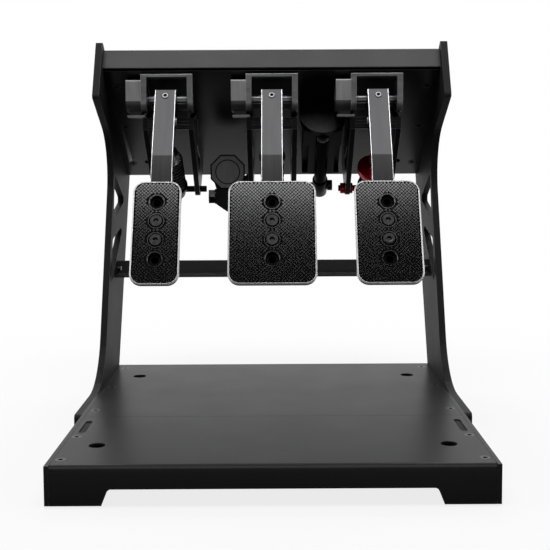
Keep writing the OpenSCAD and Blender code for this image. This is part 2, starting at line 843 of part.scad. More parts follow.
// Pedal module: the parts that move
module arm(x) {
    back_top = arm_top + arm_t * arm_in;
    low_in = -face_out;
    bend_in = meet(back_top, -90 - arm_lean, bend + arm_t * low_in, -90 - face_lean);
    low_end = bend + arm_lower * low_dir;
    lug_x = eye_w / 2 + side_gap;
    lug_r = clevis_pin_d / 2 + 3.5;
    lug_top = back_top - 44 * up_dir;
    lug_low = back_top - 66 * up_dir;
    hub_top = back_top - 4 * up_dir;
    hub_low = back_top - 42 * up_dir;
    foot_t = face_standoff - face_t;
    foot_root = arm_t / 2;
    foot_top = bend + (face_along - face_holes[3] - foot_over) * low_dir;
    color([0.32, 0.32, 0.33])
        difference() {
            union() {
                slab(x - arm_w / 2, x + arm_w / 2) {
                    polygon(rounded([
                        with_r(arm_top, 1), with_r(back_top, 3), with_r(bend_in, 12),
                        with_r(low_end + arm_t * low_in, 3), with_r(low_end, 0), with_r(bend, 12)
                    ]));
                    polygon([
                        foot_top - foot_root * face_out, foot_top + foot_t * face_out,
                        low_end + foot_t * face_out, low_end - foot_root * face_out
                    ]);
                    translate(axle) circle(r = hub_r);
                    polygon([
                        hub_top, tangent(hub_top, axle, hub_r, -1), axle,
                        tangent(hub_low, axle, hub_r, 1), hub_low
                    ]);
                }
                both(x, lug_x, arm_w / 2) {
                    translate(clevis) circle(r = lug_r);
                    polygon([
                        lug_top, tangent(lug_top, clevis, lug_r, -1), clevis,
                        tangent(lug_low, clevis, lug_r, 1), lug_low
                    ]);
                }
            }
            bar(axle, x - arm_w, x + arm_w, axle_d + 2 * press_fit);
            bar(clevis, x - arm_w, x + arm_w, clevis_pin_d + 2 * press_fit);
            slab(x - lug_x, x + lug_x) translate(clevis) circle(r = lug_r + side_gap);
            at_face_holes(x, [0:3]) face_screw_hole();
            at_clamp_screw(x) clamp_screw_hole();
        }
}
axle_in_sensor = 10;
module axle_pin(x) {
    color([0.75, 0.75, 0.77])
        bar(axle, x - yoke_w / 2 - axle_in_sensor, x + yoke_w / 2, axle_d);
}
module at_face_holes(x, places) {
    for (i = places)
        on_face(x)
            translate([0, face_holes[i], 0])
                children();
}
face_head_d = face_hole_d - 3;
face_head_h = 4;
face_screw_len = face_standoff + 4;
module face_screw() {
    difference() {
        union() {
            translate([0, 0, -face_head_h])
                cylinder(d = face_head_d, h = face_head_h - 0.5);
            translate([0, 0, -face_screw_len])
                cylinder(d = face_screw_d, h = face_screw_len - face_head_h + 0.5);
        }
        translate([0, 0, -3])
            cylinder(d = 5.8, h = 4, $fn = 6);
    }
}
module face_screw_hole() {
    translate([0, 0, -face_screw_len - 0.5])
        cylinder(d = face_screw_d + 2 * screw_fit, h = face_screw_len + past);
}
module at_clamp_screw(x) {
    place = arm_top - 9 * up_dir;
    translate([x, place.x - frame_d / 2, place.y])
        rotate([90 - arm_lean, 0, 0])
            children();
}
clamp_head_d = 8;
clamp_len = 9;
module clamp_screw() {
    difference() {
        translate([0, 0, -clamp_len])
            cylinder(d = clamp_head_d, h = clamp_len + 0.8);
        translate([0, 0, -2])
            cylinder(d = 4.6, h = 4, $fn = 6);
    }
}
module clamp_screw_hole() {
    translate([0, 0, -clamp_len - 0.2])
        cylinder(d = clamp_head_d + 2 * screw_fit, h = clamp_len + past);
}
module face(x, w) {
    half_w = w / 2;
    half_h = face_h / 2;
    color([0.15, 0.15, 0.16])
        on_face(x)
            difference() {
                union() {
                    translate([0, 0, -face_t])
                        linear_extrude(face_t - face_rim)
                            face_outline(half_w, half_h, face_r);
                    translate([0, 0, -face_t])
                        linear_extrude(face_t)
                            face_outline(half_w - face_rim, half_h - face_rim, face_r - face_rim);
                }
                for (y = face_holes) {
                    translate([0, y, -face_t - past])
                        cylinder(d = face_screw_d + 2 * screw_fit, h = face_t + 2 * past);
                    translate([0, y, -face_head_h - screw_fit])
                        cylinder(d1 = face_head_d + 2 * screw_fit, d2 = face_hole_d, h = face_head_h + screw_fit + 0.01);
                }
            }
}
module face_outline(half_w, half_h, r) {
    polygon(rounded([
        [-half_w, -half_h, r], [half_w, -half_h, r], [half_w, half_h, r], [-half_w, half_h, r]
    ]));
}
module arm_screws(x) {
    color([0.07, 0.07, 0.07]) {
        at_face_holes(x, [1, 2]) face_screw();
        at_clamp_screw(x) clamp_screw();
    }
}
module clevis_pin(x) {
    color([0.72, 0.72, 0.74])
        bar(clevis, x - arm_w / 2 - 1, x + arm_w / 2 + 1, clevis_pin_d);
}
eye_r = clevis_pin_d / 2 + 3;
rod_end_u = seat_back_u + 20;
module rod(x) {
    color([0.72, 0.72, 0.74])
        difference() {
            union() {
                bar(clevis, x - eye_w / 2, x + eye_w / 2, 2 * eye_r);
                deck_bar(x, clevis_u + 2, clevis_u + 22, clevis_n, eye_w);
                deck_bar(x, clevis_u + 2, rod_end_u, clevis_n, rod_d);
            }
            bar(clevis, x - eye_w, x + eye_w, clevis_pin_d + 2 * run_fit);
        }
}
// The nut that sets the spring's load, and the stop nut behind the seat
nut_flats = 18;
stop_flats = 14;
nut_len = 9;
flange_t = 3;
module rod_nuts(x, load_u, flange_d, wheel) {
    nut_u = load_u - flange_t - nut_len;
    stop_u = seat_back_u + seat_gap;
    color(wheel > 0 ? [0.45, 0.02, 0.04] : [0.70, 0.70, 0.72])
        difference() {
            union() {
                if (wheel > 0) {
                    deck_bar(x, nut_u, nut_u + nut_len, clevis_n, wheel);
                    deck_bar(x, nut_u, load_u, clevis_n, flange_d);
                } else {
                    deck_hex(x, nut_u, load_u, clevis_n, nut_flats);
                    deck_bar(x, nut_u + nut_len, load_u, clevis_n, flange_d);
                }
                deck_hex(x, stop_u, stop_u + nut_len, clevis_n, stop_flats);
            }
            deck_bar(x, nut_u - past, rod_end_u, clevis_n, rod_d + 2 * press_fit);
        }
}

// A spring as one swept wire: rings of [turn, height, pitch angle], upright at both ends
end_rise = 2 * wire_d;
steps_per_turn = 8;
wire_sides = 6;
function spring_path(tall, turns) =
    let (
        swing = 360 * wire_d / (2 * PI * spring_r),
        count = turns * steps_per_turn,
        span = tall - 2 * end_rise,
        lift = atan2(span, turns * 2 * PI * spring_r)
    )
    concat(
        [[0, 0, 90], [0, wire_d, 90], [0.3 * swing, 1.7 * wire_d, 45]],
        [for (i = [0:count]) [swing + 360 * i / steps_per_turn, end_rise + span * i / count, lift]],
        [
            [1.7 * swing + 360 * turns, tall - 1.7 * wire_d, 45],
            [2 * swing + 360 * turns, tall - wire_d, 90],
            [2 * swing + 360 * turns, tall, 90]
        ]
    );
function on_helix(s) = [spring_r * cos(s[0]), spring_r * sin(s[0]), s[1]];
function wire_ring(s) =
    let (
        out = [cos(s[0]), sin(s[0]), 0],
        side = [-sin(s[0]) * sin(s[2]), cos(s[0]) * sin(s[2]), -cos(s[2])]
    )
    [for (k = [0:wire_sides - 1])
        on_helix(s) + wire_d / 2 * (cos(360 * k / wire_sides) * out + sin(360 * k / wire_sides) * side)];
module coil_spring(x, load_u, turns) {
    path = spring_path(seat_front_u - load_u - 2 * seat_gap, turns);
    rings = len(path);
    m = wire_sides;
    points = [for (s = path) each wire_ring(s)];
    walls = [
        for (i = [0:rings - 2], k = [0:m - 1])
            let (a = i * m + k, b = i * m + (k + 1) % m)
            each [[a, b + m, b], [a, a + m, b + m]]
    ];
    last = (rings - 1) * m;
    caps = [for (k = [1:m - 2]) each [[0, k, k + 1], [last, last + k + 1, last + k]]];
    gaps = [
        for (i = [0:rings - 1], j = [i + 5:1:rings - 1])
            norm(on_helix(path[i]) - on_helix(path[j])) - wire_d
    ];
    echo(least_gap_in_spring = min(gaps));
    color([0.06, 0.06, 0.06])
        on_deck(x)
            translate([0, load_u + seat_gap, -clevis_n])
                rotate([-90, 0, 0])
                    polyhedron(points = points, faces = concat(walls, caps), convexity = 20);
}
module elastomers(x) {
    step = (seat_front_u - spring_u - 2 * seat_gap) / pucks;
    color([0.10, 0.10, 0.10])
        on_deck(x)
            translate([0, spring_u + seat_gap, -clevis_n])
                rotate([-90, 0, 0])
                    for (i = [0:pucks - 1])
                        translate([0, 0, i * step])
                            rotate_extrude()
                                polygon(rounded([
                                    [rod_d / 2 + rod_play, 0, 0], [puck_d / 2 - 3, 0, 2],
                                    [puck_d / 2, step / 2, 6], [puck_d / 2 - 3, step - seat_gap, 2],
                                    [rod_d / 2 + rod_play, step - seat_gap, 0]
                                ]));
}
module seat_bushes(x) {
    bush_d = seat_pin_d + 6;
    bush_w = 6;
    inner_w = 3.5;
    color([0.45, 0.02, 0.04])
        difference() {
            for (side = [-1, 1]) {
                bar(seat, x + side * (yoke_w / 2 + bush_w / 2) - bush_w / 2,
                    x + side * (yoke_w / 2 + bush_w / 2) + bush_w / 2, bush_d);
                bar(seat, x + side * (inner_ear - inner_w / 2) - inner_w / 2,
                    x + side * (inner_ear - inner_w / 2) + inner_w / 2, bush_d);
            }
            bar(seat, x - yoke_w, x + yoke_w, seat_pin_d + 2 * press_fit);
        }
}

// Haptic can on the brake's left cheek
can_side_gap = 4.5;
can_bolt_drop = 32;
can_bolt_in = 7;
can_x = brake_x - yoke_w / 2 - can_d / 2 - can_side_gap;
can_y = axle.x + can_back;
can_z = axle.y - can_drop;
can_bolt = [can_y + can_len / 2, can_z - can_bolt_drop];
can_bolt_x = can_x - can_d / 2 + can_bolt_in;
can_bolt_head = 8;
can_washer_t = 2;
can_bolt_end = brake_x - yoke_w / 2;
module haptic_bolt() {
    head_x = can_bolt_x - can_washer_t;
    bar(can_bolt, head_x - can_bolt_head / 2, can_bolt_end, can_bolt_d);
    bar(can_bolt, head_x, can_bolt_x, 2 * can_bolt_d);
    slab(head_x - can_bolt_head, head_x)
        translate(can_bolt)
            circle(d = 1.7 * can_bolt_d / cos(30), $fn = 6);
}
module haptic_can() {
    ring_t = 5;
    color([0.22, 0.22, 0.23])
        translate([can_x, can_y - frame_d / 2, can_z])
            rotate([-90, 0, 0])
                difference() {
                    union() {
                        rotate([0, 0, 22.5])
                            cylinder(d = can_d / cos(22.5), h = ring_t, $fn = 8);
                        cylinder(d = can_d - 2, h = can_len);
                    }
                    translate([0, 0, -past])
                        difference() {
                            cylinder(d = can_cap_d + 1.6, h = past + 1.2);
                            cylinder(d = can_cap_d, h = past + 1.2);
                        }
                }
}
module haptic_bracket() {
    right = brake_x - yoke_w / 2;
    depth = can_len - 8;
    color([0.20, 0.20, 0.21])
        difference() {
            translate([0, can_y + 6 + depth - frame_d / 2, 0])
                rotate([90, 0, 0])
                    linear_extrude(depth)
                        difference() {
                            polygon(rounded([
                                [can_x - can_d / 2 + 2, can_z - 6, 2], [can_x + can_d / 2 - 1, can_z - 6, 2],
                                [right, can_z - 2, 0], [right, can_bolt.y - 12, 0],
                                [right - 18, can_bolt.y - 21, 4], [can_x - 2, can_bolt.y - 19, 4],
                                [can_bolt_x, can_bolt.y - can_bolt_d, 2], [can_bolt_x, can_bolt.y + can_bolt_d, 2]
                            ]));
                            translate([can_x, can_z]) circle(d = can_d - 2 + 2 * press_fit);
                        }
            bar(can_bolt, can_bolt_x - past, can_bolt_end + past, can_bolt_d + 2 * press_fit);
        }
}

// Damper between the brake and the throttle: a round-ended flange, a body with cut sides, and a barrel
barrel_n = damper_n + 2;
damper_u = [60, 170];
damper_flange = [58, 48, 8];
damper_tail = 8;
damper_side_cut = [7, 10];
damper_cut_ends = [30, 12];
barrel_neck = 2;
barrel_head = [11, 1.5, 1];
barrel_cap = [28, 4];
barrel_tip = [6, 4];
barrel_u = damper_u[0] + damper_flange[2] + seat_gap;
cap_u = damper_u[1] + barrel_neck;
damper_bolt_d = 8;
damper_nut = [14, 6.5];
damper_bolt_u = cap_u + barrel_cap[0] / 2;
module damper_block() {
    flange_r = damper_flange[0] / 2;
    body_u = damper_u[0] + damper_flange[2];
    length = damper_u[1] - body_u;
    color([0.07, 0.07, 0.08])
        difference() {
            union() {
                on_deck(damper_x)
                    translate([0, damper_u[0] + damper_flange[2], 0])
                        rotate([90, 0, 0])
                            linear_extrude(damper_flange[2])
                                polygon(concat(
                                    [[-flange_r, 0]],
                                    [for (a = [180:arc_step:360])
                                        flange_r * [cos(a), sin(a)] + [0, flange_r - damper_flange[1]]],
                                    [[flange_r, 0]]
                                ));
                on_deck(0)
                    translate([damper_x - damper_w / 2, body_u - past, 0])
                        rotate([90, 0, 90])
                            linear_extrude(damper_w)
                                polygon(rounded([
                                    [0, 0, 0], [0, -damper_n, 0], [past + length - damper_tail, -damper_n, 4],
                                    [past + length, damper_tail - damper_n, 4], [past + length, 0, 0]
                                ]));
            }
            deck_bar(damper_x, body_u, damper_u[1] + past, barrel_n, barrel_d + 2 * press_fit);
            for (edge = [damper_x - damper_w / 2, damper_x + damper_w / 2])
                deck_block(edge - damper_side_cut[0], edge + damper_side_cut[0],
                    body_u + damper_cut_ends[0], damper_u[1] - damper_cut_ends[1],
                    -damper_n - past, damper_side_cut[1] - damper_n);
        }
}
// One turned piece: the grooved barrel, its cap and the tip
module damper_barrel() {
    r = barrel_d / 2;
    groove = barrel_head[0];
    groove_r = r - barrel_head[2];
    cap_r = r + barrel_cap[1] / 2;
    tip_r = r - barrel_tip[1] / 2;
    cap_z = cap_u - barrel_u;
    tip_z = cap_z + barrel_cap[0];
    color([0.10, 0.10, 0.11])
        difference() {
            on_deck(damper_x)
                translate([0, barrel_u, -barrel_n])
                    rotate([-90, 0, 0])
                        rotate_extrude()
                            polygon([
                                [0, 0], [r, 0], [r, groove], [groove_r, groove], [groove_r, groove + barrel_head[1]],
                                [r, groove + barrel_head[1]], [r, cap_z], [cap_r, cap_z], [cap_r, tip_z],
                                [tip_r, tip_z], [tip_r, tip_z + barrel_tip[0]], [0, tip_z + barrel_tip[0]]
                            ]);
            bar(deck_pt(damper_bolt_u, barrel_n), damper_x - damper_w, damper_x + damper_w,
                damper_bolt_d + 2 * press_fit);
        }
}
// The bolt across the damper's cap, with its nut
module damper_bolt() {
    place = deck_pt(damper_bolt_u, barrel_n);
    cap_r = (barrel_d + barrel_cap[1]) / 2;
    bar(place, damper_x - cap_r - damper_nut[1] / 2, damper_x + cap_r + damper_nut[1], damper_bolt_d);
    bar(place, damper_x + cap_r, damper_x + cap_r + damper_nut[1], damper_nut[0]);
}

base_front_cover();
base_rear_cover();
base_side_rails();
base_cross_members();
rubber_feet();
side_plate(-1);  // left_side_plate
side_plate(1);  // right_side_plate
pedal_deck();
deck_brackets();
top_hood();
rear_crossbar();
controller_box();
frame_screws();
yoke(clutch_x);  // clutch_yoke
cheeks(clutch_x);  // clutch_cheeks
brace(clutch_x);  // clutch_brace
bearings(clutch_x);  // clutch_bearings
sensor(clutch_x);  // clutch_sensor
rear_seat(clutch_x);  // clutch_rear_seat
arm(clutch_x);  // clutch_arm
axle_pin(clutch_x);  // clutch_axle
face(clutch_x, clutch_face_w);  // clutch_face
arm_screws(clutch_x);  // clutch_arm_screws
clevis_pin(clutch_x);  // clutch_clevis_pin
rod(clutch_x);  // clutch_rod
rod_nuts(clutch_x, spring_u, 2 * spring_r, 0);  // clutch_nuts
coil_spring(clutch_x, spring_u, clutch_turns);  // clutch_spring
yoke(brake_x);  // brake_yoke
cheeks(brake_x);  // brake_cheeks
brace(brake_x);  // brake_brace
bearings(brake_x);  // brake_bearings
sensor(brake_x);  // brake_sensor
rear_seat(brake_x);  // brake_rear_seat
arm(brake_x);  // brake_arm
axle_pin(brake_x);  // brake_axle
face(brake_x, brake_face_w);  // brake_face
arm_screws(brake_x);  // brake_arm_screws
clevis_pin(brake_x);  // brake_clevis_pin
rod(brake_x);  // brake_rod
rod_nuts(brake_x, spring_u, puck_d + flange_t, 0);  // brake_nuts
elastomers(brake_x);  // brake_elastomers
yoke(throttle_x);  // throttle_yoke
cheeks(throttle_x);  // throttle_cheeks
brace(throttle_x);  // throttle_brace
bearings(throttle_x);  // throttle_bearings
sensor(throttle_x);  // throttle_sensor
rear_seat(throttle_x);  // throttle_rear_seat
arm(throttle_x);  // throttle_arm
axle_pin(throttle_x);  // throttle_axle
face(throttle_x, throttle_face_w);  // throttle_face
arm_screws(throttle_x);  // throttle_arm_screws
clevis_pin(throttle_x);  // throttle_clevis_pin
rod(throttle_x);  // throttle_rod
rod_nuts(throttle_x, throttle_spring_u, 2 * spring_r + wire_d, wheel_d);  // throttle_nuts
coil_spring(throttle_x, throttle_spring_u, throttle_turns);  // throttle_spring
seat_bushes(throttle_x);  // throttle_seat_bushes
haptic_can();
haptic_bracket();
damper_block();
damper_barrel();
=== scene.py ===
import math

import bmesh
import bpy
from mathutils import Matrix, Vector


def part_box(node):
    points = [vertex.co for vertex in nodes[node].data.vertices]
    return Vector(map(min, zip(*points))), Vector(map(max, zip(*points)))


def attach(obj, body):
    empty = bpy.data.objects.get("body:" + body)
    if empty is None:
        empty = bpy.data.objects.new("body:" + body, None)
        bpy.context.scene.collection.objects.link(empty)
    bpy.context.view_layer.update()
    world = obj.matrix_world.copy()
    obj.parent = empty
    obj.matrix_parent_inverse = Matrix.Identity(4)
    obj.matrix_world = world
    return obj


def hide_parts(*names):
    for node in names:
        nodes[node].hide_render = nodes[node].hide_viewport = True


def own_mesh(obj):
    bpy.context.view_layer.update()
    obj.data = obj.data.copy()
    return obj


mm = 0.001


def linkObject(name, data):
    obj = bpy.data.objects.new(name, data)
    bpy.context.scene.collection.objects.link(obj)
    return obj


# camera first, so that every later stage can be looked at
camera = {
    "photoSize": 550,  # pixels, square
    "focalPixels": 980.0,
    "principalUp": 44.0,  # the optical axis meets the picture this far above its middle
    "sensor": 36.0,
    "farClip": 50.0,
    "place": (0.003, -1.1165, 0.3075),
    "pitchDown": 4.264,
    "roll": -0.3,
}
camData = bpy.data.cameras.new("photoCamera")
camData.sensor_width = camera["sensor"]
camData.lens = camera["sensor"] * camera["focalPixels"] / camera["photoSize"]
camData.shift_y = -camera["principalUp"] / camera["photoSize"]
camData.clip_end = camera["farClip"]
camObj = linkObject("photoCamera", camData)
camObj.matrix_world = (
    Matrix.Translation(camera["place"])
    @ Matrix.Rotation(math.radians(90.0 - camera["pitchDown"]), 4, "X")
    @ Matrix.Rotation(math.radians(camera["roll"]), 4, "Z")
)
bpy.context.scene.camera = camObj
print("camera set")

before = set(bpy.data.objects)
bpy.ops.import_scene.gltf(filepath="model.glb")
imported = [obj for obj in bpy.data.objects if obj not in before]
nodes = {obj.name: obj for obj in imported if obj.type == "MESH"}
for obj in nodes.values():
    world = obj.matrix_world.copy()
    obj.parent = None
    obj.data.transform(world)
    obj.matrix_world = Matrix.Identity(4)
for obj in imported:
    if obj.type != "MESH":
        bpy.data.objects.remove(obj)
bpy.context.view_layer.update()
pedals = ("clutch", "brake", "throttle")
print("frame loaded:", len(nodes), "nodes")


# node trees, for finishes, shapes and the studio

def setSocket(tree, socket, source):
    if isinstance(source, bpy.types.NodeSocket):
        tree.links.new(source, socket)
    else:
        socket.default_value = source


# sockets are named by keyword, with _ for a space
def addNode(tree, kind, **sources):
    node = tree.nodes.new(kind)
    for label, source in sources.items():
        setSocket(tree, node.inputs[label.replace("_", " ")], source)
    return node


def calc(tree, operation, a, b=0.0):
    node = tree.nodes.new("ShaderNodeMath")
    node.operation = operation
    for socket, source in zip(node.inputs, (a, b)):
        setSocket(tree, socket, source)
    return node.outputs["Value"]


def hypot(tree, a, b):
    squares = [calc(tree, "MULTIPLY", side, side) for side in (a, b)]
    return calc(tree, "SQRT", calc(tree, "ADD", *squares))


def ramp(tree, source, fromLow, fromHigh, toLow, toHigh, blend="LINEAR"):
    node = addNode(
        tree, "ShaderNodeMapRange", Value=source,
        From_Min=fromLow, From_Max=fromHigh, To_Min=toLow, To_Max=toHigh,
    )
    node.interpolation_type = blend
    return node.outputs["Result"]


def softRamp(tree, source, *limits):
    return ramp(tree, source, *limits, blend="SMOOTHSTEP")


# finishes

noiseBand = (0.3, 0.7)  # most of a noise's values lie between these
coatPeel = {"scale": 1100.0, "detail": 3.0, "strength": 0.35, "depth": 0.25 * mm}
coatPatch = {"scale": 22.0, "detail": 4.0}
metalLine = {"scale": 260.0, "detail": 3.0, "depth": 0.1 * mm}
# a small share along an axis draws the lines out along it
lineWays = {
    "even": (1.0, 1.0, 1.0),
    "across": (0.06, 1.0, 1.0),
    "upright": (1.0, 1.0, 0.1),
    "lengthwise": (1.0, 0.06, 0.06),
    "turned": (1.0, 0.08, 0.08),
    "drawn": (1.0, 0.1, 0.1),
}
coats = {
    "blackCoat": {
        "dark": (0.0165, 0.0165, 0.0173), "light": (0.0195, 0.0195, 0.0204),
        "roughness": (0.29, 0.33), "specular": 0.068,
    },
    "plateCoat": {
        "dark": (0.015, 0.015, 0.0157), "light": (0.020, 0.020, 0.021),
        "roughness": (0.52, 0.58), "specular": 0.09,
    },
    # painted highlight: a lighter grey on the black coat's broken edges, for the light they catch
    "coatEdgeHighlight": {
        "dark": (0.08, 0.08, 0.083), "light": (0.12, 0.12, 0.124), "roughness": (0.3, 0.4),
    },
    # painted highlight on the rear cover's broken edges, with painted shadow where they meet the seam
    "seamEdgeHighlightShadow": {
        "dark": (0.08, 0.08, 0.083), "light": (0.12, 0.12, 0.124), "roughness": (0.3, 0.4),
    },
    # hood and crossbar: the frame's black coat made lighter, painted light for how they face the lamps
    "hoodCoatPaintedLight": {
        "dark": (0.034, 0.034, 0.036), "light": (0.0405, 0.0405, 0.0429), "roughness": (0.38, 0.46),
    },
    "barCoatPaintedLight": {
        "dark": (0.036, 0.036, 0.038), "light": (0.043, 0.043, 0.0455), "roughness": (0.38, 0.46),
    },
    # the deck's glossier black coat, its colour taken far darker than the frame's coat as painted shade
    # under the hood
    "deckCoatPaintedShade": {
        "dark": (0.003, 0.003, 0.0033), "light": (0.005, 0.005, 0.0054),
        "roughness": (0.18, 0.24), "specular": 0.5,
    },
    # painted shade: near-black for hole walls, the face's grooves and diamond flanks, and the can's shadow
    # lines
    "paintedShadeBlack": {
        "dark": (0.002, 0.002, 0.002), "light": (0.004, 0.004, 0.004),
        "roughness": (0.5, 0.6), "specular": 0.03,
    },
    "rubber": {
        "dark": (0.006, 0.006, 0.006), "light": (0.012, 0.012, 0.012), "roughness": (0.6, 0.75),
    },
    "mouldedBox": {
        "dark": (0.010, 0.010, 0.010), "light": (0.016, 0.016, 0.017), "roughness": (0.4, 0.5),
    },
}
metals = {
    "armGrey": {
        "dark": (0.0172, 0.0172, 0.0177), "light": (0.0208, 0.0208, 0.0213),
        "metallic": 1.0, "roughness": (0.19, 0.23), "lines": "lengthwise",
    },
    # the yoke's own grey; its inside gets painted shade in the shades below
    "yokeGreyPaintedShade": {
        "dark": (0.17, 0.17, 0.173), "light": (0.23, 0.23, 0.233),
        "metallic": 0.4, "roughness": (0.34, 0.44), "lines": "across", "specular": 0.2,
    },
    "darkMetal": {
        "dark": (0.008, 0.008, 0.0085), "light": (0.015, 0.015, 0.016),
        "metallic": 0.5, "roughness": (0.34, 0.46), "lines": "across", "specular": 0.2,
    },
    "housing": {
        "dark": (0.19, 0.19, 0.193), "light": (0.25, 0.25, 0.253),
        "metallic": 0.3, "roughness": (0.38, 0.48), "lines": "upright",
    },
    # the sensor's own grey; its lower half gets painted shade in the shades below
    "sensorGreyPaintedShade": {
        "dark": (0.27, 0.27, 0.273), "light": (0.34, 0.34, 0.343),
        "metallic": 0.3, "roughness": (0.38, 0.48), "lines": "upright", "specular": 0.2,
    },
    "axleSteel": {
        "dark": (0.14, 0.14, 0.143), "light": (0.2, 0.2, 0.203),
        "metallic": 1.0, "roughness": (0.32, 0.44), "lines": "turned",
    },
    "damperBlack": {
        "dark": (0.005, 0.005, 0.005), "light": (0.010, 0.010, 0.011),
        "metallic": 0.4, "roughness": (0.3, 0.4), "lines": "upright", "specular": 0.1,
    },
    # painted highlight: near-white broken edges on arms, yokes and cheeks, for the light they catch
    "paintedEdgeHighlight": {
        "dark": (0.62, 0.62, 0.63), "light": (0.80, 0.80, 0.81),
        "metallic": 0.4, "roughness": (0.26, 0.36), "lines": "drawn",
    },
    "brightSteel": {
        "dark": (0.30, 0.30, 0.31), "light": (0.44, 0.44, 0.45),
        "metallic": 1.0, "roughness": (0.3, 0.42), "lines": "turned",
    },
    "nutSteel": {
        "dark": (0.58, 0.58, 0.59), "light": (0.74, 0.74, 0.75),
        "metallic": 1.0, "roughness": (0.22, 0.32), "lines": "turned",
    },
    "blackScrew": {
        "dark": (0.010, 0.010, 0.010), "light": (0.022, 0.022, 0.023),
        "metallic": 0.6, "roughness": (0.28, 0.4), "lines": "even",
    },
    "redAnodised": {
        "dark": (0.44, 0.003, 0.012), "light": (0.58, 0.006, 0.02),
        "metallic": 0.5, "roughness": (0.28, 0.4), "lines": "drawn",
    },
    "springBlack": {
        "dark": (0.010, 0.010, 0.011), "light": (0.022, 0.022, 0.023),
        "metallic": 0.5, "roughness": (0.24, 0.36), "lines": "even",
    },
    "faceBlack": {
        "dark": (0.19, 0.19, 0.192), "light": (0.22, 0.22, 0.222),
        "metallic": 1.0, "roughness": (0.10, 0.12), "lines": "even", "relief": 0.02,
    },
    "faceLand": {
        "dark": (0.085, 0.085, 0.087), "light": (0.1, 0.1, 0.102),
        "metallic": 1.0, "roughness": (0.14, 0.18), "lines": "even", "relief": 0.02,
    },
    "rimSilver": {
        "dark": (0.62, 0.62, 0.63), "light": (0.76, 0.76, 0.77),
        "metallic": 0.35, "roughness": (0.34, 0.42), "lines": "even", "relief": 0.02,
    },
}


def newMaterial(name, baseColor, metallic, roughness, specular):
    mat = bpy.data.materials.new(name)
    mat.use_nodes = True
    inputs = mat.node_tree.nodes["Principled BSDF"].inputs
    inputs["Base Color"].default_value = (*baseColor, 1.0)
    inputs["Metallic"].default_value = metallic
    inputs["Roughness"].default_value = roughness
    inputs["Specular IOR Level"].default_value = specular
    return mat, mat.node_tree, inputs


def objectNoise(tree, scale, detail, stretch=(1.0, 1.0, 1.0)):
    coords = tree.nodes.new("ShaderNodeTexCoord")
    mapping = addNode(tree, "ShaderNodeMapping", Vector=coords.outputs["Object"], Scale=stretch)
    noise = addNode(tree, "ShaderNodeTexNoise", Vector=mapping.outputs["Vector"], Scale=scale, Detail=detail)
    return noise.outputs["Fac"]


# one pattern drives colour and roughness together
def applyPattern(tree, inputs, pattern, dark, light, roughness):
    tint = addNode(tree, "ShaderNodeValToRGB", Fac=pattern)
    for element, position, color in zip(tint.color_ramp.elements, noiseBand, (dark, light)):
        element.position = position
        element.color = (*color, 1.0)
    tree.links.new(tint.outputs["Color"], inputs["Base Color"])
    tree.links.new(ramp(tree, pattern, *noiseBand, *roughness), inputs["Roughness"])


def applyBump(tree, inputs, height, strength, depth):
    bump = addNode(tree, "ShaderNodeBump", Height=height, Strength=strength, Distance=depth)
    tree.links.new(bump.outputs["Normal"], inputs["Normal"])


# matt coat: fine orange peel, soft blotches in colour and gloss
def powderCoat(name, dark, light, roughness, specular=0.2):
    mat, tree, inputs = newMaterial(name, light, 0.0, roughness[1], specular)
    peel = objectNoise(tree, coatPeel["scale"], coatPeel["detail"])
    patches = objectNoise(tree, coatPatch["scale"], coatPatch["detail"])
    applyPattern(tree, inputs, patches, dark, light, roughness)
    applyBump(tree, inputs, peel, coatPeel["strength"], coatPeel["depth"])
    return mat


# machined metal: fine lines along one axis
def machinedMetal(name, dark, light, metallic, roughness, lines, relief=0.12, specular=0.5):
    mat, tree, inputs = newMaterial(name, light, metallic, roughness[1], specular)
    pattern = objectNoise(tree, metalLine["scale"], metalLine["detail"], lineWays[lines])
    applyPattern(tree, inputs, pattern, dark, light, roughness)
    applyBump(tree, inputs, pattern, relief, metalLine["depth"])
    return mat


mats = {name: powderCoat(name, **look) for name, look in coats.items()}
mats.update({name: machinedMetal(name, **look) for name, look in metals.items()})

seamY = min(vert.co.y for vert in nodes["base_rear_cover"].data.vertices)
# painted shade over parts of a finish, along one axis: "steps" are (from, to, share before, share after),
# the largest counts
shades = {
    # painted shade: a yoke's inside darkens with depth, where little light comes back
    "yokeGreyPaintedShade": {"axis": "Y", "steps": [(68.0 * mm, 76.0 * mm, 1.0, 0.04)]},
    # painted shade on a sensor's lower half, lighter again at its lit bottom edge
    "sensorGreyPaintedShade": {
        "axis": "Z",
        "steps": [(376.0 * mm, 376.5 * mm, 0.2, 1.0), (359.6 * mm, 360.0 * mm, 0.6, 0.0)],
    },
    # painted shadow on the rear cover's broken edge at the base's seam, so only the front cover's painted
    # edge highlight catches light
    "seamEdgeHighlightShadow": {"axis": "Y", "steps": [(seamY + 1.0 * mm, seamY + 1.2 * mm, 0.0, 1.0)]},
}


def shadeAlong(mat, axis, steps):
    tree = mat.node_tree
    target = tree.nodes["Principled BSDF"].inputs["Base Color"]
    color = target.links[0].from_socket
    coords = tree.nodes.new("ShaderNodeTexCoord")
    axes = addNode(tree, "ShaderNodeSeparateXYZ", Vector=coords.outputs["Object"])
    share = 0.0
    for start, end, before, after in steps:
        share = calc(tree, "MAXIMUM", ramp(tree, axes.outputs[axis], start, end, before, after), share)
    scaled = tree.nodes.new("ShaderNodeVectorMath")
    scaled.operation = "SCALE"
    setSocket(tree, scaled.inputs[0], color)
    setSocket(tree, scaled.inputs["Scale"], share)
    tree.links.new(scaled.outputs["Vector"], target)


for name, shade in shades.items():
    shadeAlong(mats[name], **shade)
print("materials:", len(mats))
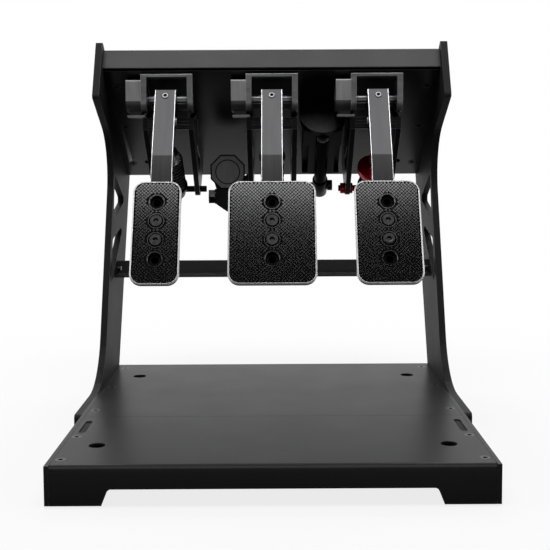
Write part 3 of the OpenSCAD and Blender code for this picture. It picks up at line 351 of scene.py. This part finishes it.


# each CAD node's finish, the finish of its broken edges, and how far they are broken in mm; the lighter edge
# finishes are painted highlights
finish = {
    "base_front_cover": ("blackCoat", "coatEdgeHighlight", 0.5),
    "base_rear_cover": ("blackCoat", "seamEdgeHighlightShadow", 0.9),
    "base_side_rails": ("blackCoat", "coatEdgeHighlight", 0.6),
    "base_cross_members": ("blackCoat", "coatEdgeHighlight", 0.4),
    "rubber_feet": ("rubber", "rubber", 0.4),
    "left_side_plate": ("plateCoat", "coatEdgeHighlight", 0.8),
    "right_side_plate": ("plateCoat", "coatEdgeHighlight", 0.8),
    "pedal_deck": ("deckCoatPaintedShade", "coatEdgeHighlight", 0.5),
    "deck_brackets": ("plateCoat", "plateCoat", 0.4),
    "top_hood": ("hoodCoatPaintedLight", "coatEdgeHighlight", 0.4),
    "rear_crossbar": ("barCoatPaintedLight", "coatEdgeHighlight", 0.4),
    "controller_box": ("mouldedBox", "mouldedBox", 0.8),
    "frame_screws": ("blackScrew", "blackScrew", 0.2),
    "throttle_seat_bushes": ("redAnodised", "redAnodised", 0.3),
    "haptic_can": ("housing", "housing", 0.5),
    "haptic_bracket": ("darkMetal", "darkMetal", 0.5),
    "damper_block": ("damperBlack", "damperBlack", 0.6),
    "damper_barrel": ("damperBlack", "damperBlack", 0.5),
}
pedalFinish = {
    "yoke": ("yokeGreyPaintedShade", "paintedEdgeHighlight", 0.35),
    "cheeks": ("darkMetal", "paintedEdgeHighlight", 0.3),
    "brace": ("darkMetal", "coatEdgeHighlight", 0.25),
    "bearings": ("brightSteel", "brightSteel", 0.2),
    "sensor": ("sensorGreyPaintedShade", "sensorGreyPaintedShade", 0.6),
    "rear_seat": ("darkMetal", "darkMetal", 0.4),
    "arm": ("armGrey", "paintedEdgeHighlight", 1.0),
    "axle": ("axleSteel", "axleSteel", 0.4),
    "arm_screws": ("blackScrew", "blackScrew", 0.25),
    "clevis_pin": ("brightSteel", "brightSteel", 0.4),
    "rod": ("brightSteel", "brightSteel", 0.25),
    "nuts": ("nutSteel", "nutSteel", 0.4),
}
for pedal in pedals:
    for piece, look in pedalFinish.items():
        finish[pedal + "_" + piece] = look
finish["throttle_nuts"] = ("redAnodised", "redAnodised", 0.5)
edgeBreak = {"weld": 1e-6, "flatAngle": math.radians(0.5), "sharpAngle": math.radians(40.0), "segments": 2}

for name, (main, edge, width) in finish.items():
    obj = nodes[name]
    obj.data.materials.clear()
    obj.data.materials.append(mats[main])
    obj.data.materials.append(mats[edge])
    weld = obj.modifiers.new("weld", "WELD")
    weld.merge_threshold = edgeBreak["weld"]
    flat = obj.modifiers.new("flat", "DECIMATE")
    flat.decimate_type = "DISSOLVE"
    flat.angle_limit = edgeBreak["flatAngle"]
    soft = obj.modifiers.new("brokenEdge", "BEVEL")
    soft.width = width * mm
    soft.segments = edgeBreak["segments"]
    soft.limit_method = "ANGLE"
    soft.angle_limit = edgeBreak["sharpAngle"]
    soft.use_clamp_overlap = True
    soft.material = 1
print("finishes set")


# shape trees: named inputs, one geometry output

def newTree(name, floats, ints):
    tree = bpy.data.node_groups.new(name, "GeometryNodeTree")
    tree.interface.new_socket("Geometry", in_out="OUTPUT", socket_type="NodeSocketGeometry")
    for labels, kind in ((floats, "NodeSocketFloat"), (ints, "NodeSocketInt")):
        for label in labels:
            tree.interface.new_socket(label, in_out="INPUT", socket_type=kind)
    return tree, tree.nodes.new("NodeGroupInput").outputs, tree.nodes.new("NodeGroupOutput")


def finishTree(tree, output, geometry, material, smooth, second=None):
    shade = addNode(tree, "GeometryNodeSetShadeSmooth", Geometry=geometry, Shade_Smooth=smooth)
    real = addNode(tree, "GeometryNodeRealizeInstances", Geometry=shade.outputs[0])
    painted = addNode(tree, "GeometryNodeSetMaterial", Geometry=real.outputs[0], Material=material)
    if second:
        where, other = second
        painted = addNode(
            tree, "GeometryNodeSetMaterial", Geometry=painted.outputs[0], Selection=where, Material=other)
    tree.links.new(painted.outputs[0], output.inputs["Geometry"])


# runs a tree once on an empty mesh and keeps the plain result
def growMesh(name, tree, values, place):
    holder = linkObject(name, bpy.data.meshes.new(name + "Seed"))
    mod = holder.modifiers.new("grow", "NODES")
    mod.node_group = tree
    for item in tree.interface.items_tree:
        if item.in_out == "INPUT":
            mod[item.identifier] = values[item.name]
    bpy.context.view_layer.update()
    mesh = bpy.data.meshes.new_from_object(holder.evaluated_get(bpy.context.evaluated_depsgraph_get()))
    bpy.data.objects.remove(holder)
    mesh.transform(place)
    mesh.name = name
    return linkObject(name, mesh)


# shapes made face by face

def addLoop(bm, points, z):
    return [bm.verts.new((x, y, z)) for x, y in points]


def bridge(bm, low, high, material):
    count = len(low)
    for i in range(count):
        j = (i + 1) % count
        bm.faces.new((low[i], low[j], high[j], high[i])).material_index = material


def loopEdges(bm, verts):
    return [bm.edges.get((verts[i - 1], verts[i])) for i in range(len(verts))]


# turns a closed profile of (radius, height) round the z axis
def lathe(bm, profile, sides, material):
    rings = []
    for i in range(sides):
        angle = 2 * math.pi * i / sides
        rings.append([bm.verts.new((r * math.cos(angle), r * math.sin(angle), z)) for r, z in profile])
    for i in range(sides):
        a, b = rings[i], rings[(i + 1) % sides]
        for j in range(len(profile)):
            k = (j + 1) % len(profile)
            bm.faces.new((a[j], b[j], b[k], a[k])).material_index = material


def keepMesh(bm, name, looks, place):
    bmesh.ops.recalc_face_normals(bm, faces=bm.faces)
    mesh = bpy.data.meshes.new(name)
    bm.to_mesh(mesh)
    bm.free()
    for look in looks:
        mesh.materials.append(mats[look])
    mesh.transform(place)
    return linkObject(name, mesh)


# pedal faces: plate with bright rim, four countersunk holes, and a field of small diamonds, with painted
# shade on the diamonds' flanks, the floor among them and the holes' walls

face = {
    "lean": math.radians(25.0),
    "corner": 13.0 * mm,
    "rim": 1.4 * mm,
    "land": 0.35 * mm,
    "wall": 0.15 * mm,
    "holeLand": 1.0 * mm,
    "backBreak": 0.6 * mm,
    "cornerSteps": 10,
    "holes": (-31.0 * mm, -9.0 * mm, 13.0 * mm, 35.0 * mm),
    "holeSides": 40,
    "mouth": 8.0 * mm,
    "mouthBreak": 0.5 * mm,
    "seat": 6.6 * mm,
    "seatDepth": 4.1 * mm,
    "through": 4.1 * mm,
}
# "reach", "clear" and "fill" are shares of the pitch, "top" one of a diamond's foot
knurl = {
    "pitch": 4.0 * mm, "rise": 0.4 * mm, "sunk": 0.05 * mm,
    "fill": 0.98, "top": 0.76, "reach": 0.3, "clear": 0.4, "corners": 4,
}
faceLooks = ("faceBlack", "rimSilver", "paintedShadeBlack", "faceLand")
bodyLook, rimLook, paintedShadeLook, landLook = range(len(faceLooks))


def roundedLoop(halfW, halfH, radius, steps):
    points = []
    for cx, cy, start in ((1, -1, -90), (1, 1, 0), (-1, 1, 90), (-1, -1, 180)):
        for i in range(steps + 1):
            angle = math.radians(start + 90.0 * i / steps)
            x = cx * (halfW - radius) + radius * math.cos(angle)
            points.append((x, cy * (halfH - radius) + radius * math.sin(angle)))
    return points


def circleLoop(cy, radius, sides):
    steps = [2 * math.pi * i / sides for i in range(sides)]
    return [(radius * math.cos(a), cy + radius * math.sin(a)) for a in steps]


# width, height and thickness of a leaning face, and the frame of its front
def faceSize(name):
    low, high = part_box(name)
    size = Vector(high) - Vector(low)
    lean = face["lean"]
    tall = (size.z * math.cos(lean) - size.y * math.sin(lean)) / math.cos(2 * lean)
    thick = (size.y * math.cos(lean) - size.z * math.sin(lean)) / math.cos(2 * lean)
    up = Vector((0, math.sin(lean), math.cos(lean)))
    out = Vector((0, -math.cos(lean), math.sin(lean)))
    middle = (Vector(low) + Vector(high)) / 2 + out * thick / 2
    turn = Matrix(((1, 0, 0), up, out)).transposed().to_4x4()
    return size.x, tall, thick, Matrix.Translation(middle) @ turn


def facePlate(name, width, tall, thick, place):
    bm = bmesh.new()
    floorZ = -knurl["rise"] - knurl["sunk"]
    landZ = -knurl["sunk"]
    landEdge = face["rim"] + face["land"]
    outline = [
        (face["backBreak"], -thick, bodyLook),
        (0.0, face["backBreak"] - thick, bodyLook),
        (0.0, -face["rim"], bodyLook),
        (face["rim"], 0.0, rimLook),
        (landEdge, 0.0, rimLook),
        (landEdge + face["wall"], floorZ, bodyLook),
    ]
    # a hole's walls and bore are near-black as painted shade; its countersunk land keeps its own grey
    hole = [
        (face["mouth"] + face["holeLand"], floorZ, paintedShadeLook),
        (face["mouth"] + face["holeLand"], landZ, paintedShadeLook),
        (face["mouth"], landZ, landLook),
        (face["mouth"] - face["mouthBreak"], landZ - face["mouthBreak"], landLook),
        (face["seat"], -face["seatDepth"], landLook),
        (face["through"], -face["seatDepth"], paintedShadeLook),
        (face["through"], -thick, paintedShadeLook),
    ]
    rims = []
    for inset, z, look in outline:
        corner = face["corner"] - inset
        points = roundedLoop(width / 2 - inset, tall / 2 - inset, corner, face["cornerSteps"])
        rims.append(addLoop(bm, points, z))
    walls = [(rims, outline)]
    fronts, backs = [rims[-1]], [rims[0]]
    for y in face["holes"]:
        rings = [addLoop(bm, circleLoop(y, radius, face["holeSides"]), z) for radius, z, look in hole]
        walls.append((rings, hole))
        fronts.append(rings[0])
        backs.append(rings[-1])
    for rings, profile in walls:
        for low, high, (across, z, look) in zip(rings, rings[1:], profile[1:]):
            bridge(bm, low, high, look)
    # the floor among the diamonds is filled near-black as painted shade
    for group, look in ((fronts, paintedShadeLook), (backs, bodyLook)):
        edges = [edge for loop in group for edge in loopEdges(bm, loop)]
        filled = bmesh.ops.triangle_fill(bm, edges=edges, use_beauty=True, use_dissolve=False)
        for part in filled["geom"]:
            if isinstance(part, bmesh.types.BMFace):
                part.material_index = look
    return keepMesh(bm, name, faceLooks, place)


def knurlTree():
    tree, given, output = newTree(
        "knurlField",
        ("halfWidth", "halfHeight", "corner", "pitch", "rise", "holeStep", "holeMiddle", "holeRadius"),
        ("columns", "rows"))
    join = tree.nodes.new("GeometryNodeJoinGeometry")
    # two grids, the second one between the points of the first
    for less in (0, 1):
        grid = tree.nodes.new("GeometryNodeMeshGrid")
        for axis, label in (("X", "columns"), ("Y", "rows")):
            count = calc(tree, "SUBTRACT", given[label], less)
            span = calc(tree, "MULTIPLY", calc(tree, "SUBTRACT", count, 1.0), given["pitch"])
            tree.links.new(count, grid.inputs["Vertices " + axis])
            tree.links.new(span, grid.inputs["Size " + axis])
        tree.links.new(grid.outputs["Mesh"], join.inputs[0])
    place = tree.nodes.new("GeometryNodeInputPosition").outputs[0]
    axes = addNode(tree, "ShaderNodeSeparateXYZ", Vector=place).outputs
    # inside the rounded outline
    past = []
    for axis, half in (("X", given["halfWidth"]), ("Y", given["halfHeight"])):
        straight = calc(tree, "SUBTRACT", half, given["corner"])
        beyond = calc(tree, "SUBTRACT", calc(tree, "ABSOLUTE", axes[axis]), straight)
        past.append(calc(tree, "MAXIMUM", beyond, 0.0))
    inside = calc(tree, "LESS_THAN", hypot(tree, *past), given["corner"])
    # clear of the holes, which stand at half and one and a half steps from their middle
    away = calc(tree, "ABSOLUTE", calc(tree, "SUBTRACT", axes["Y"], given["holeMiddle"]))
    gaps = []
    for steps in (0.5, 1.5):
        hole = calc(tree, "MULTIPLY", given["holeStep"], steps)
        gaps.append(calc(tree, "ABSOLUTE", calc(tree, "SUBTRACT", away, hole)))
    gap = hypot(tree, calc(tree, "MINIMUM", *gaps), axes["X"])
    clear = calc(tree, "GREATER_THAN", gap, given["holeRadius"])
    foot = calc(tree, "MULTIPLY", given["pitch"], knurl["fill"] / 2)
    cone = addNode(
        tree, "GeometryNodeMeshCone", Vertices=knurl["corners"], Radius_Bottom=foot,
        Radius_Top=calc(tree, "MULTIPLY", foot, knurl["top"]), Depth=given["rise"])
    stand = addNode(
        tree, "GeometryNodeInstanceOnPoints", Points=join.outputs[0],
        Selection=calc(tree, "MULTIPLY", inside, clear), Instance=cone.outputs["Mesh"])
    # painted shade: the diamonds' flanks are near-black, their tops the face's grey
    flanks = (cone.outputs["Side"], mats["paintedShadeBlack"])
    finishTree(tree, output, stand.outputs[0], mats["faceBlack"], False, flanks)
    return tree


diamonds = knurlTree()
diamondFaces = knurl["corners"] + 2
knurlInset = face["rim"] + face["land"] + knurl["reach"] * knurl["pitch"]
for pedal in pedals:
    node = pedal + "_face"
    width, tall, thick, place = faceSize(node)
    plate = facePlate(pedal + "FacePlate", width, tall, thick, place)
    field = growMesh(pedal + "FaceKnurl", diamonds, {
        "halfWidth": width / 2 - knurlInset,
        "halfHeight": tall / 2 - knurlInset,
        "corner": face["corner"] - knurlInset,
        "pitch": knurl["pitch"],
        "rise": knurl["rise"],
        "holeStep": face["holes"][1] - face["holes"][0],
        "holeMiddle": sum(face["holes"]) / len(face["holes"]),
        "holeRadius": face["mouth"] + face["holeLand"] + knurl["clear"] * knurl["pitch"],
        "columns": int(width / knurl["pitch"]) + 1,
        "rows": int(tall / knurl["pitch"]) + 1,
    }, place @ Matrix.Translation((0, 0, -knurl["rise"] - knurl["sunk"])))
    for part in (plate, field):
        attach(part, pedal + "_pedal")
    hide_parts(node)
    print("face", pedal, "diamonds", len(field.data.polygons) // diamondFaces)


# springs: closed coils at both ends, squeezed by the pedal

# "half" is the tube's radius as a share of the wire, a little thin so that closed turns stay apart
spring = {
    "wire": 3.0 * mm, "half": 0.49, "radius": 12.0 * mm, "closed": 0.9, "stepsPerTurn": 28, "wireSides": 12,
}
# the rods hang under the deck: "from" and "to" run back along it
deck = {"tilt": math.radians(35.0), "frontY": 67.5 * mm, "frontZ": 412.0 * mm, "rodDrop": 57.42 * mm}
stacks = {
    "clutch": {"x": -126.0 * mm, "from": 100.3 * mm, "to": 159.7 * mm, "turns": 8.0},
    "brake": {"x": 0.0, "from": 100.3 * mm, "to": 159.7 * mm},
    "throttle": {"x": 126.0 * mm, "from": 132.3 * mm, "to": 159.7 * mm, "turns": 3.0},
}
alongDeck = Vector((0, math.cos(deck["tilt"]), -math.sin(deck["tilt"])))
belowDeck = Vector((0, -math.sin(deck["tilt"]), -math.cos(deck["tilt"])))


# length, place and rear end of a coil or puck stack, from the load nut's flange to the rear seat
def stackPlace(pedal):
    stack = stacks[pedal]
    line = Vector((stack["x"], deck["frontY"], deck["frontZ"])) + belowDeck * deck["rodDrop"]
    turn = alongDeck.to_track_quat("Z", "X").to_matrix().to_4x4()
    start = line + alongDeck * stack["from"]
    return stack["to"] - stack["from"], Matrix.Translation(start) @ turn, line + alongDeck * stack["to"]


def coilTree():
    tree, given, output = newTree("coil", ("length", "radius", "wire", "turns", "closed"), ("points",))
    line = addNode(tree, "GeometryNodeMeshLine", Count=given["points"])
    index = tree.nodes.new("GeometryNodeInputIndex").outputs[0]
    share = calc(tree, "DIVIDE", index, calc(tree, "SUBTRACT", given["points"], 1.0))
    ends = calc(tree, "MULTIPLY", given["closed"], 2.0)
    turn = calc(tree, "MULTIPLY", share, calc(tree, "ADD", given["turns"], ends))
    # the end turns lie wire on wire, the others share the rest of the length
    first = calc(tree, "MINIMUM", turn, given["closed"])
    lastStart = calc(tree, "ADD", given["turns"], given["closed"])
    last = calc(tree, "MAXIMUM", calc(tree, "SUBTRACT", turn, lastStart), 0.0)
    shut = calc(tree, "ADD", first, last)
    shutRise = calc(tree, "MULTIPLY", shut, given["wire"])
    shutLength = calc(tree, "MULTIPLY", given["wire"], calc(tree, "ADD", ends, 1.0))
    pitch = calc(tree, "DIVIDE", calc(tree, "SUBTRACT", given["length"], shutLength), given["turns"])
    openRise = calc(tree, "MULTIPLY", calc(tree, "SUBTRACT", turn, shut), pitch)
    rise = calc(tree, "ADD", shutRise, openRise)
    height = calc(tree, "ADD", rise, calc(tree, "MULTIPLY", given["wire"], 0.5))
    angle = calc(tree, "MULTIPLY", turn, 2 * math.pi)
    spot = addNode(
        tree, "ShaderNodeCombineXYZ", Z=height,
        X=calc(tree, "MULTIPLY", given["radius"], calc(tree, "COSINE", angle)),
        Y=calc(tree, "MULTIPLY", given["radius"], calc(tree, "SINE", angle)))
    bent = addNode(tree, "GeometryNodeSetPosition", Geometry=line.outputs[0], Position=spot.outputs[0])
    route = addNode(tree, "GeometryNodeMeshToCurve", Mesh=bent.outputs[0])
    half = calc(tree, "MULTIPLY", given["wire"], spring["half"])
    ring = addNode(tree, "GeometryNodeCurvePrimitiveCircle", Resolution=spring["wireSides"], Radius=half)
    tube = addNode(
        tree, "GeometryNodeCurveToMesh",
        Curve=route.outputs[0], Profile_Curve=ring.outputs[0], Fill_Caps=True)
    finishTree(tree, output, tube.outputs[0], mats["springBlack"], True)
    return tree


coil = coilTree()
for pedal in ("clutch", "throttle"):
    span, place, end = stackPlace(pedal)
    turns = stacks[pedal]["turns"]
    piece = growMesh(pedal + "Coil", coil, {
        "length": span,
        "radius": spring["radius"],
        "wire": spring["wire"],
        "turns": turns,
        "closed": spring["closed"],
        "points": int((turns + 2 * spring["closed"]) * spring["stepsPerTurn"]) + 1,
    }, place)
    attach(piece, "frame")
    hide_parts(pedal + "_spring")
    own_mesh(piece)
    print("coil", pedal, round(span / mm, 1), "mm long")


# brake stack: rubber pucks with thin steel washers between them

# a puck's side draws in by "waist" at both ends, along a sine to the power "fullness"
# "lip" is the share of its height above and below that side
puck = {
    "count": 4, "radius": 15.0 * mm, "bore": 5.4 * mm, "sides": 64,
    "waist": 3.2 * mm, "fullness": 0.45, "lip": 0.02, "steps": 12,
    "washer": 1.4 * mm, "washerRadius": 13.6 * mm, "washerBreak": 0.3 * mm,
}


def puckProfile(low, high):
    outline = [(puck["bore"], low)]
    for i in range(puck["steps"] + 1):
        share = i / puck["steps"]
        bulge = math.sin(math.pi * share) ** puck["fullness"]
        height = low + (high - low) * (puck["lip"] + (1.0 - 2 * puck["lip"]) * share)
        outline.append((puck["radius"] - puck["waist"] * (1.0 - bulge), height))
    outline.append((puck["bore"], high))
    return outline


def washerProfile(low, high):
    rim = puck["washerRadius"]
    cut = puck["washerBreak"]
    return [
        (puck["bore"], low), (rim - cut, low), (rim, low + cut),
        (rim, high - cut), (rim - cut, high), (puck["bore"], high),
    ]


span, place, end = stackPlace("brake")
step = (span - puck["washer"]) / puck["count"]
bm = bmesh.new()
for i in range(puck["count"]):
    lathe(bm, puckProfile(i * step + puck["washer"], (i + 1) * step), puck["sides"], 0)
for i in range(puck["count"] + 1):
    lathe(bm, washerProfile(i * step, i * step + puck["washer"]), puck["sides"], 1)
for part in bm.faces:
    part.smooth = part.material_index == 0
stack = keepMesh(bm, "brakeStack", ("rubber", "brightSteel"), place)
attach(stack, "frame")
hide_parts("brake_elastomers")
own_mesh(stack)
print("brake stack", puck["count"], "pucks")


# bare rim of each clamp screw's head, near the top of the arm

clamp = {
    "lean": math.radians(30.0), "y": 51.1 * mm, "z": 381.56 * mm, "proud": 0.8 * mm, "sunk": 0.1 * mm,
    "outer": 3.3 * mm, "inner": 2.3 * mm, "break": 0.15 * mm, "thick": 0.3 * mm, "sides": 40,
}
clampOut = Vector((0, -math.cos(clamp["lean"]), math.sin(clamp["lean"])))
clampTurn = clampOut.to_track_quat("Z", "X").to_matrix().to_4x4()
clampLow = clamp["proud"] - clamp["sunk"]
clampHigh = clampLow + clamp["thick"]
for pedal in pedals:
    bm = bmesh.new()
    lathe(bm, [
        (clamp["inner"], clampLow),
        (clamp["outer"], clampLow),
        (clamp["outer"], clampHigh - clamp["break"]),
        (clamp["outer"] - clamp["break"], clampHigh),
        (clamp["inner"], clampHigh),
    ], clamp["sides"], 0)
    place = Matrix.Translation((stacks[pedal]["x"], clamp["y"], clamp["z"])) @ clampTurn
    ring = keepMesh(bm, pedal + "ClampRim", ("axleSteel",), place)
    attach(ring, pedal + "_pedal")
print("clamp rims", len(pedals))


# painted shadow lines on the haptic can's front: thin near-black rings at its octagon's edge and the groove
# round its cap

canShadowLines = {
    "centre": (-57.5 * mm, 145.6 * mm, 289.9 * mm), "proud": 0.15 * mm, "sunk": 0.15 * mm,
    "octagon": {"inner": 20.3 * mm, "outer": 22.05 * mm, "sides": 8},
    "groove": {"inner": 14.7 * mm, "outer": 15.9 * mm, "sides": 64},
}
halfCorner = math.pi / canShadowLines["octagon"]["sides"]
bm = bmesh.new()
# the octagon is measured across its flats, so its corners lie farther out
for line, stretch in ((canShadowLines["octagon"], 1.0 / math.cos(halfCorner)), (canShadowLines["groove"], 1.0)):
    inner, outer = line["inner"] * stretch, line["outer"] * stretch
    low, high = -canShadowLines["sunk"], canShadowLines["proud"]
    lathe(bm, [(inner, low), (outer, low), (outer, high), (inner, high)], line["sides"], 0)
toFront = Matrix.Rotation(math.radians(90.0), 4, "X") @ Matrix.Rotation(halfCorner, 4, "Z")
lines = keepMesh(bm, "canShadowLines", ("paintedShadeBlack",), Matrix.Translation(canShadowLines["centre"]) @ toFront)
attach(lines, "frame")
print("can lines drawn")


# painted highlights along the front edges of each arm, from its top down behind the face: thin bright strips
# for the light the edges catch

armHighlight = {
    "route": ((55.1 * mm, 388.5 * mm), (10.6 * mm, 311.4 * mm), (-14.8 * mm, 257.0 * mm)),
    "arm": 24.0 * mm, "wide": 0.45 * mm, "deep": 1.4 * mm, "proud": 0.05 * mm,
}
armHighlightRoute = [Vector((0, y, z)) for y, z in armHighlight["route"]]
armHighlightWays = [above - below for above, below in zip(armHighlightRoute, armHighlightRoute[1:])]
upperNormal, lowerNormal = [Vector((0, -way.z, way.y)).normalized() for way in armHighlightWays]
armHighlightNormals = (upperNormal, (upperNormal + lowerNormal).normalized(), lowerNormal)


def armHighlightStation(bm, x, side, point, normal):
    outer = x + side * (armHighlight["arm"] / 2 + armHighlight["proud"])
    inner = x + side * (armHighlight["arm"] / 2 - armHighlight["wide"])
    front = point + normal * armHighlight["proud"]
    back = point - normal * armHighlight["deep"]
    corners = ((inner, front), (outer, front), (outer, back), (inner, back))
    return [bm.verts.new((across, spot.y, spot.z)) for across, spot in corners]


for pedal in pedals:
    bm = bmesh.new()
    for side in (-1, 1):
        x = stacks[pedal]["x"]
        stations = [armHighlightStation(bm, x, side, point, normal) for point, normal in zip(armHighlightRoute, armHighlightNormals)]
        for low, high in zip(stations, stations[1:]):
            bridge(bm, low, high, 0)
        for cap in (stations[0], stations[-1]):
            bm.faces.new(cap)
    edges = keepMesh(bm, pedal + "ArmEdgeHighlights", ("paintedEdgeHighlight",), Matrix.Identity(4))
    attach(edges, pedal + "_pedal")
print("arm edges", len(pedals))


# ribs in the two side slots of the base

slotRibs = {
    "x": 189.0 * mm, "front": 105.0 * mm, "drop": 1.0 * mm, "length": 44.0 * mm, "count": 11,
    "wide": 6.9 * mm, "deep": 1.7 * mm, "tall": 3.0 * mm,
}


def ribTree():
    tree, given, output = newTree("slotRibs", ("pitch", "wide", "deep", "tall"), ("count",))
    step = addNode(tree, "ShaderNodeCombineXYZ", Y=given["pitch"])
    line = addNode(tree, "GeometryNodeMeshLine", Count=given["count"], Offset=step.outputs[0])
    size = addNode(tree, "ShaderNodeCombineXYZ", X=given["wide"], Y=given["deep"], Z=given["tall"])
    rib = addNode(tree, "GeometryNodeMeshCube", Size=size.outputs[0])
    stand = addNode(tree, "GeometryNodeInstanceOnPoints", Points=line.outputs[0], Instance=rib.outputs[0])
    # near-black ribs, their own dark finish taken darker so the slots read black: partly painted shade
    finishTree(tree, output, stand.outputs[0], mats["damperBlack"], False)
    return tree


ribs = ribTree()
ribPitch = slotRibs["length"] / slotRibs["count"]
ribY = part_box("base_front_cover")[0][1] + slotRibs["front"] + ribPitch / 2
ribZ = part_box("base_front_cover")[1][2] - slotRibs["drop"] - slotRibs["tall"] / 2
ribValues = {"pitch": ribPitch, **{key: slotRibs[key] for key in ("wide", "deep", "tall", "count")}}
for side, label in ((-1, "left"), (1, "right")):
    place = Matrix.Translation((side * slotRibs["x"], ribY, ribZ))
    piece = growMesh(label + "SlotRibs", ribs, ribValues, place)
    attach(piece, "frame")
print("slot ribs", slotRibs["count"], "on each side")


# floor, light and background

studio = {
    "floorSize": 12.0, "floorBounce": 0.35, "floorSeen": 0.86,
    "mirrorShadowFront": (-0.28, -0.5), "mirrorShadowBack": (0.1, 0.55),
    "shadowShare": 0.18, "shadowFrom": 0.315, "shadowTo": 0.9,
    "fill": 0.05, "frontDark": 0.02, "backdrop": (0.2, 0.7),
    "glow": 4.2, "glowRise": (0.718, 0.802), "glowFront": (-0.2, -0.5),
}
half = studio["floorSize"] / 2
floorCorners = [(x * half, y * half, 0.0) for x, y in ((-1, -1), (1, -1), (1, 1), (-1, 1))]
floorMesh = bpy.data.meshes.new("floor")
floorMesh.from_pydata(floorCorners, [], [(0, 1, 2, 3)])
floor = linkObject("floor", floorMesh)
floorMat = bpy.data.materials.new("paleFloor")
floorMat.use_nodes = True
tree = floorMat.node_tree
tree.nodes.clear()
rays = tree.nodes.new("ShaderNodeLightPath").outputs
coords = tree.nodes.new("ShaderNodeTexCoord").outputs["Object"]
axes = addNode(tree, "ShaderNodeSeparateXYZ", Vector=coords).outputs
away = addNode(tree, "ShaderNodeVectorMath", Vector=coords)
away.operation = "LENGTH"
shadow = (studio["shadowFrom"], studio["shadowTo"], 1.0 - studio["shadowShare"], 1.0)
fade = softRamp(tree, away.outputs["Value"], *shadow)
# painted shadow: mirrors see the floor dim around the object, where its shadow would fall, and white farther
# off
mirrorRays = calc(tree, "MAXIMUM", rays["Is Glossy Ray"], rays["Is Transmission Ray"])
mirrorFront = softRamp(tree, axes["Y"], *studio["mirrorShadowFront"], studio["fill"], 1.0)
mirrorBack = softRamp(tree, axes["Y"], *studio["mirrorShadowBack"], studio["fill"], 1.0)
mirrorShadowLevel = calc(tree, "MAXIMUM", mirrorFront, mirrorBack)
tone = softRamp(tree, rays["Is Camera Ray"], 0.0, 1.0, studio["floorBounce"], studio["floorSeen"])
diffuse = addNode(tree, "ShaderNodeBsdfDiffuse", Color=tone)
whiteLevel = calc(tree, "MAXIMUM", rays["Is Camera Ray"], mirrorShadowLevel)
white = addNode(tree, "ShaderNodeEmission", Strength=whiteLevel)
whiteShare = calc(tree, "MAXIMUM", calc(tree, "MULTIPLY", rays["Is Camera Ray"], fade), mirrorRays)
mixed = addNode(tree, "ShaderNodeMixShader", Fac=whiteShare)
tree.links.new(diffuse.outputs["BSDF"], mixed.inputs[1])
tree.links.new(white.outputs["Emission"], mixed.inputs[2])
addNode(tree, "ShaderNodeOutputMaterial", Surface=mixed.outputs["Shader"])
floorMesh.materials.append(floorMat)

world = bpy.data.worlds.new("studio")
bpy.context.scene.world = world
world.use_nodes = True
tree = world.node_tree
background = tree.nodes["Background"]
background.inputs["Color"].default_value = (1.0, 1.0, 1.0, 1.0)
rays = tree.nodes.new("ShaderNodeLightPath").outputs
ways = tree.nodes.new("ShaderNodeTexCoord").outputs["Generated"]
axes = addNode(tree, "ShaderNodeSeparateXYZ", Vector=ways).outputs
# mirrors see a white backdrop behind, a dark room in front, and the front lamp's soft lower edge above it
backdrop = softRamp(tree, axes["Y"], *studio["backdrop"], studio["frontDark"], 1.0)
glowRise = softRamp(tree, axes["Z"], *studio["glowRise"], 0.0, studio["glow"])
glowFront = softRamp(tree, axes["Y"], *studio["glowFront"], 0.0, 1.0)
glow = calc(tree, "MULTIPLY", glowRise, glowFront)
mirrorRays = calc(tree, "MAXIMUM", rays["Is Glossy Ray"], rays["Is Transmission Ray"])
mirrored = calc(tree, "MULTIPLY", mirrorRays, calc(tree, "MAXIMUM", backdrop, glow))
seen = calc(tree, "MAXIMUM", rays["Is Camera Ray"], mirrored)
ambient = calc(tree, "MULTIPLY", rays["Is Diffuse Ray"], studio["fill"])
tree.links.new(calc(tree, "MAXIMUM", seen, ambient), background.inputs["Strength"])

lamps = {
    "frontTop": {"place": (0.0, -0.657, 1.847), "aim": (0.0, 0.0, 0.3), "size": (1.8, 0.8), "power": 23.0},
    "backTop": {"place": (0.0, 1.3, 1.6), "aim": (0.0, 0.0, 0.05), "size": (1.8, 1.0), "power": 22.0},
    "left": {"place": (-1.6, 0.12, 0.7), "aim": (0.0, 0.0, 0.25), "size": (1.0, 1.2), "power": 8.0},
    "right": {"place": (1.6, 0.12, 0.7), "aim": (0.0, 0.0, 0.25), "size": (1.0, 1.2), "power": 7.4},
}
for name, lamp in lamps.items():
    data = bpy.data.lights.new(name, "AREA")
    data.shape = "RECTANGLE"
    data.size, data.size_y = lamp["size"]
    data.energy = lamp["power"]
    light = linkObject(name, data)
    place = Vector(lamp["place"])
    light.location = place
    light.rotation_euler = (Vector(lamp["aim"]) - place).to_track_quat("-Z", "Y").to_euler()
bpy.context.scene.view_settings.view_transform = "Standard"
print("studio lit")
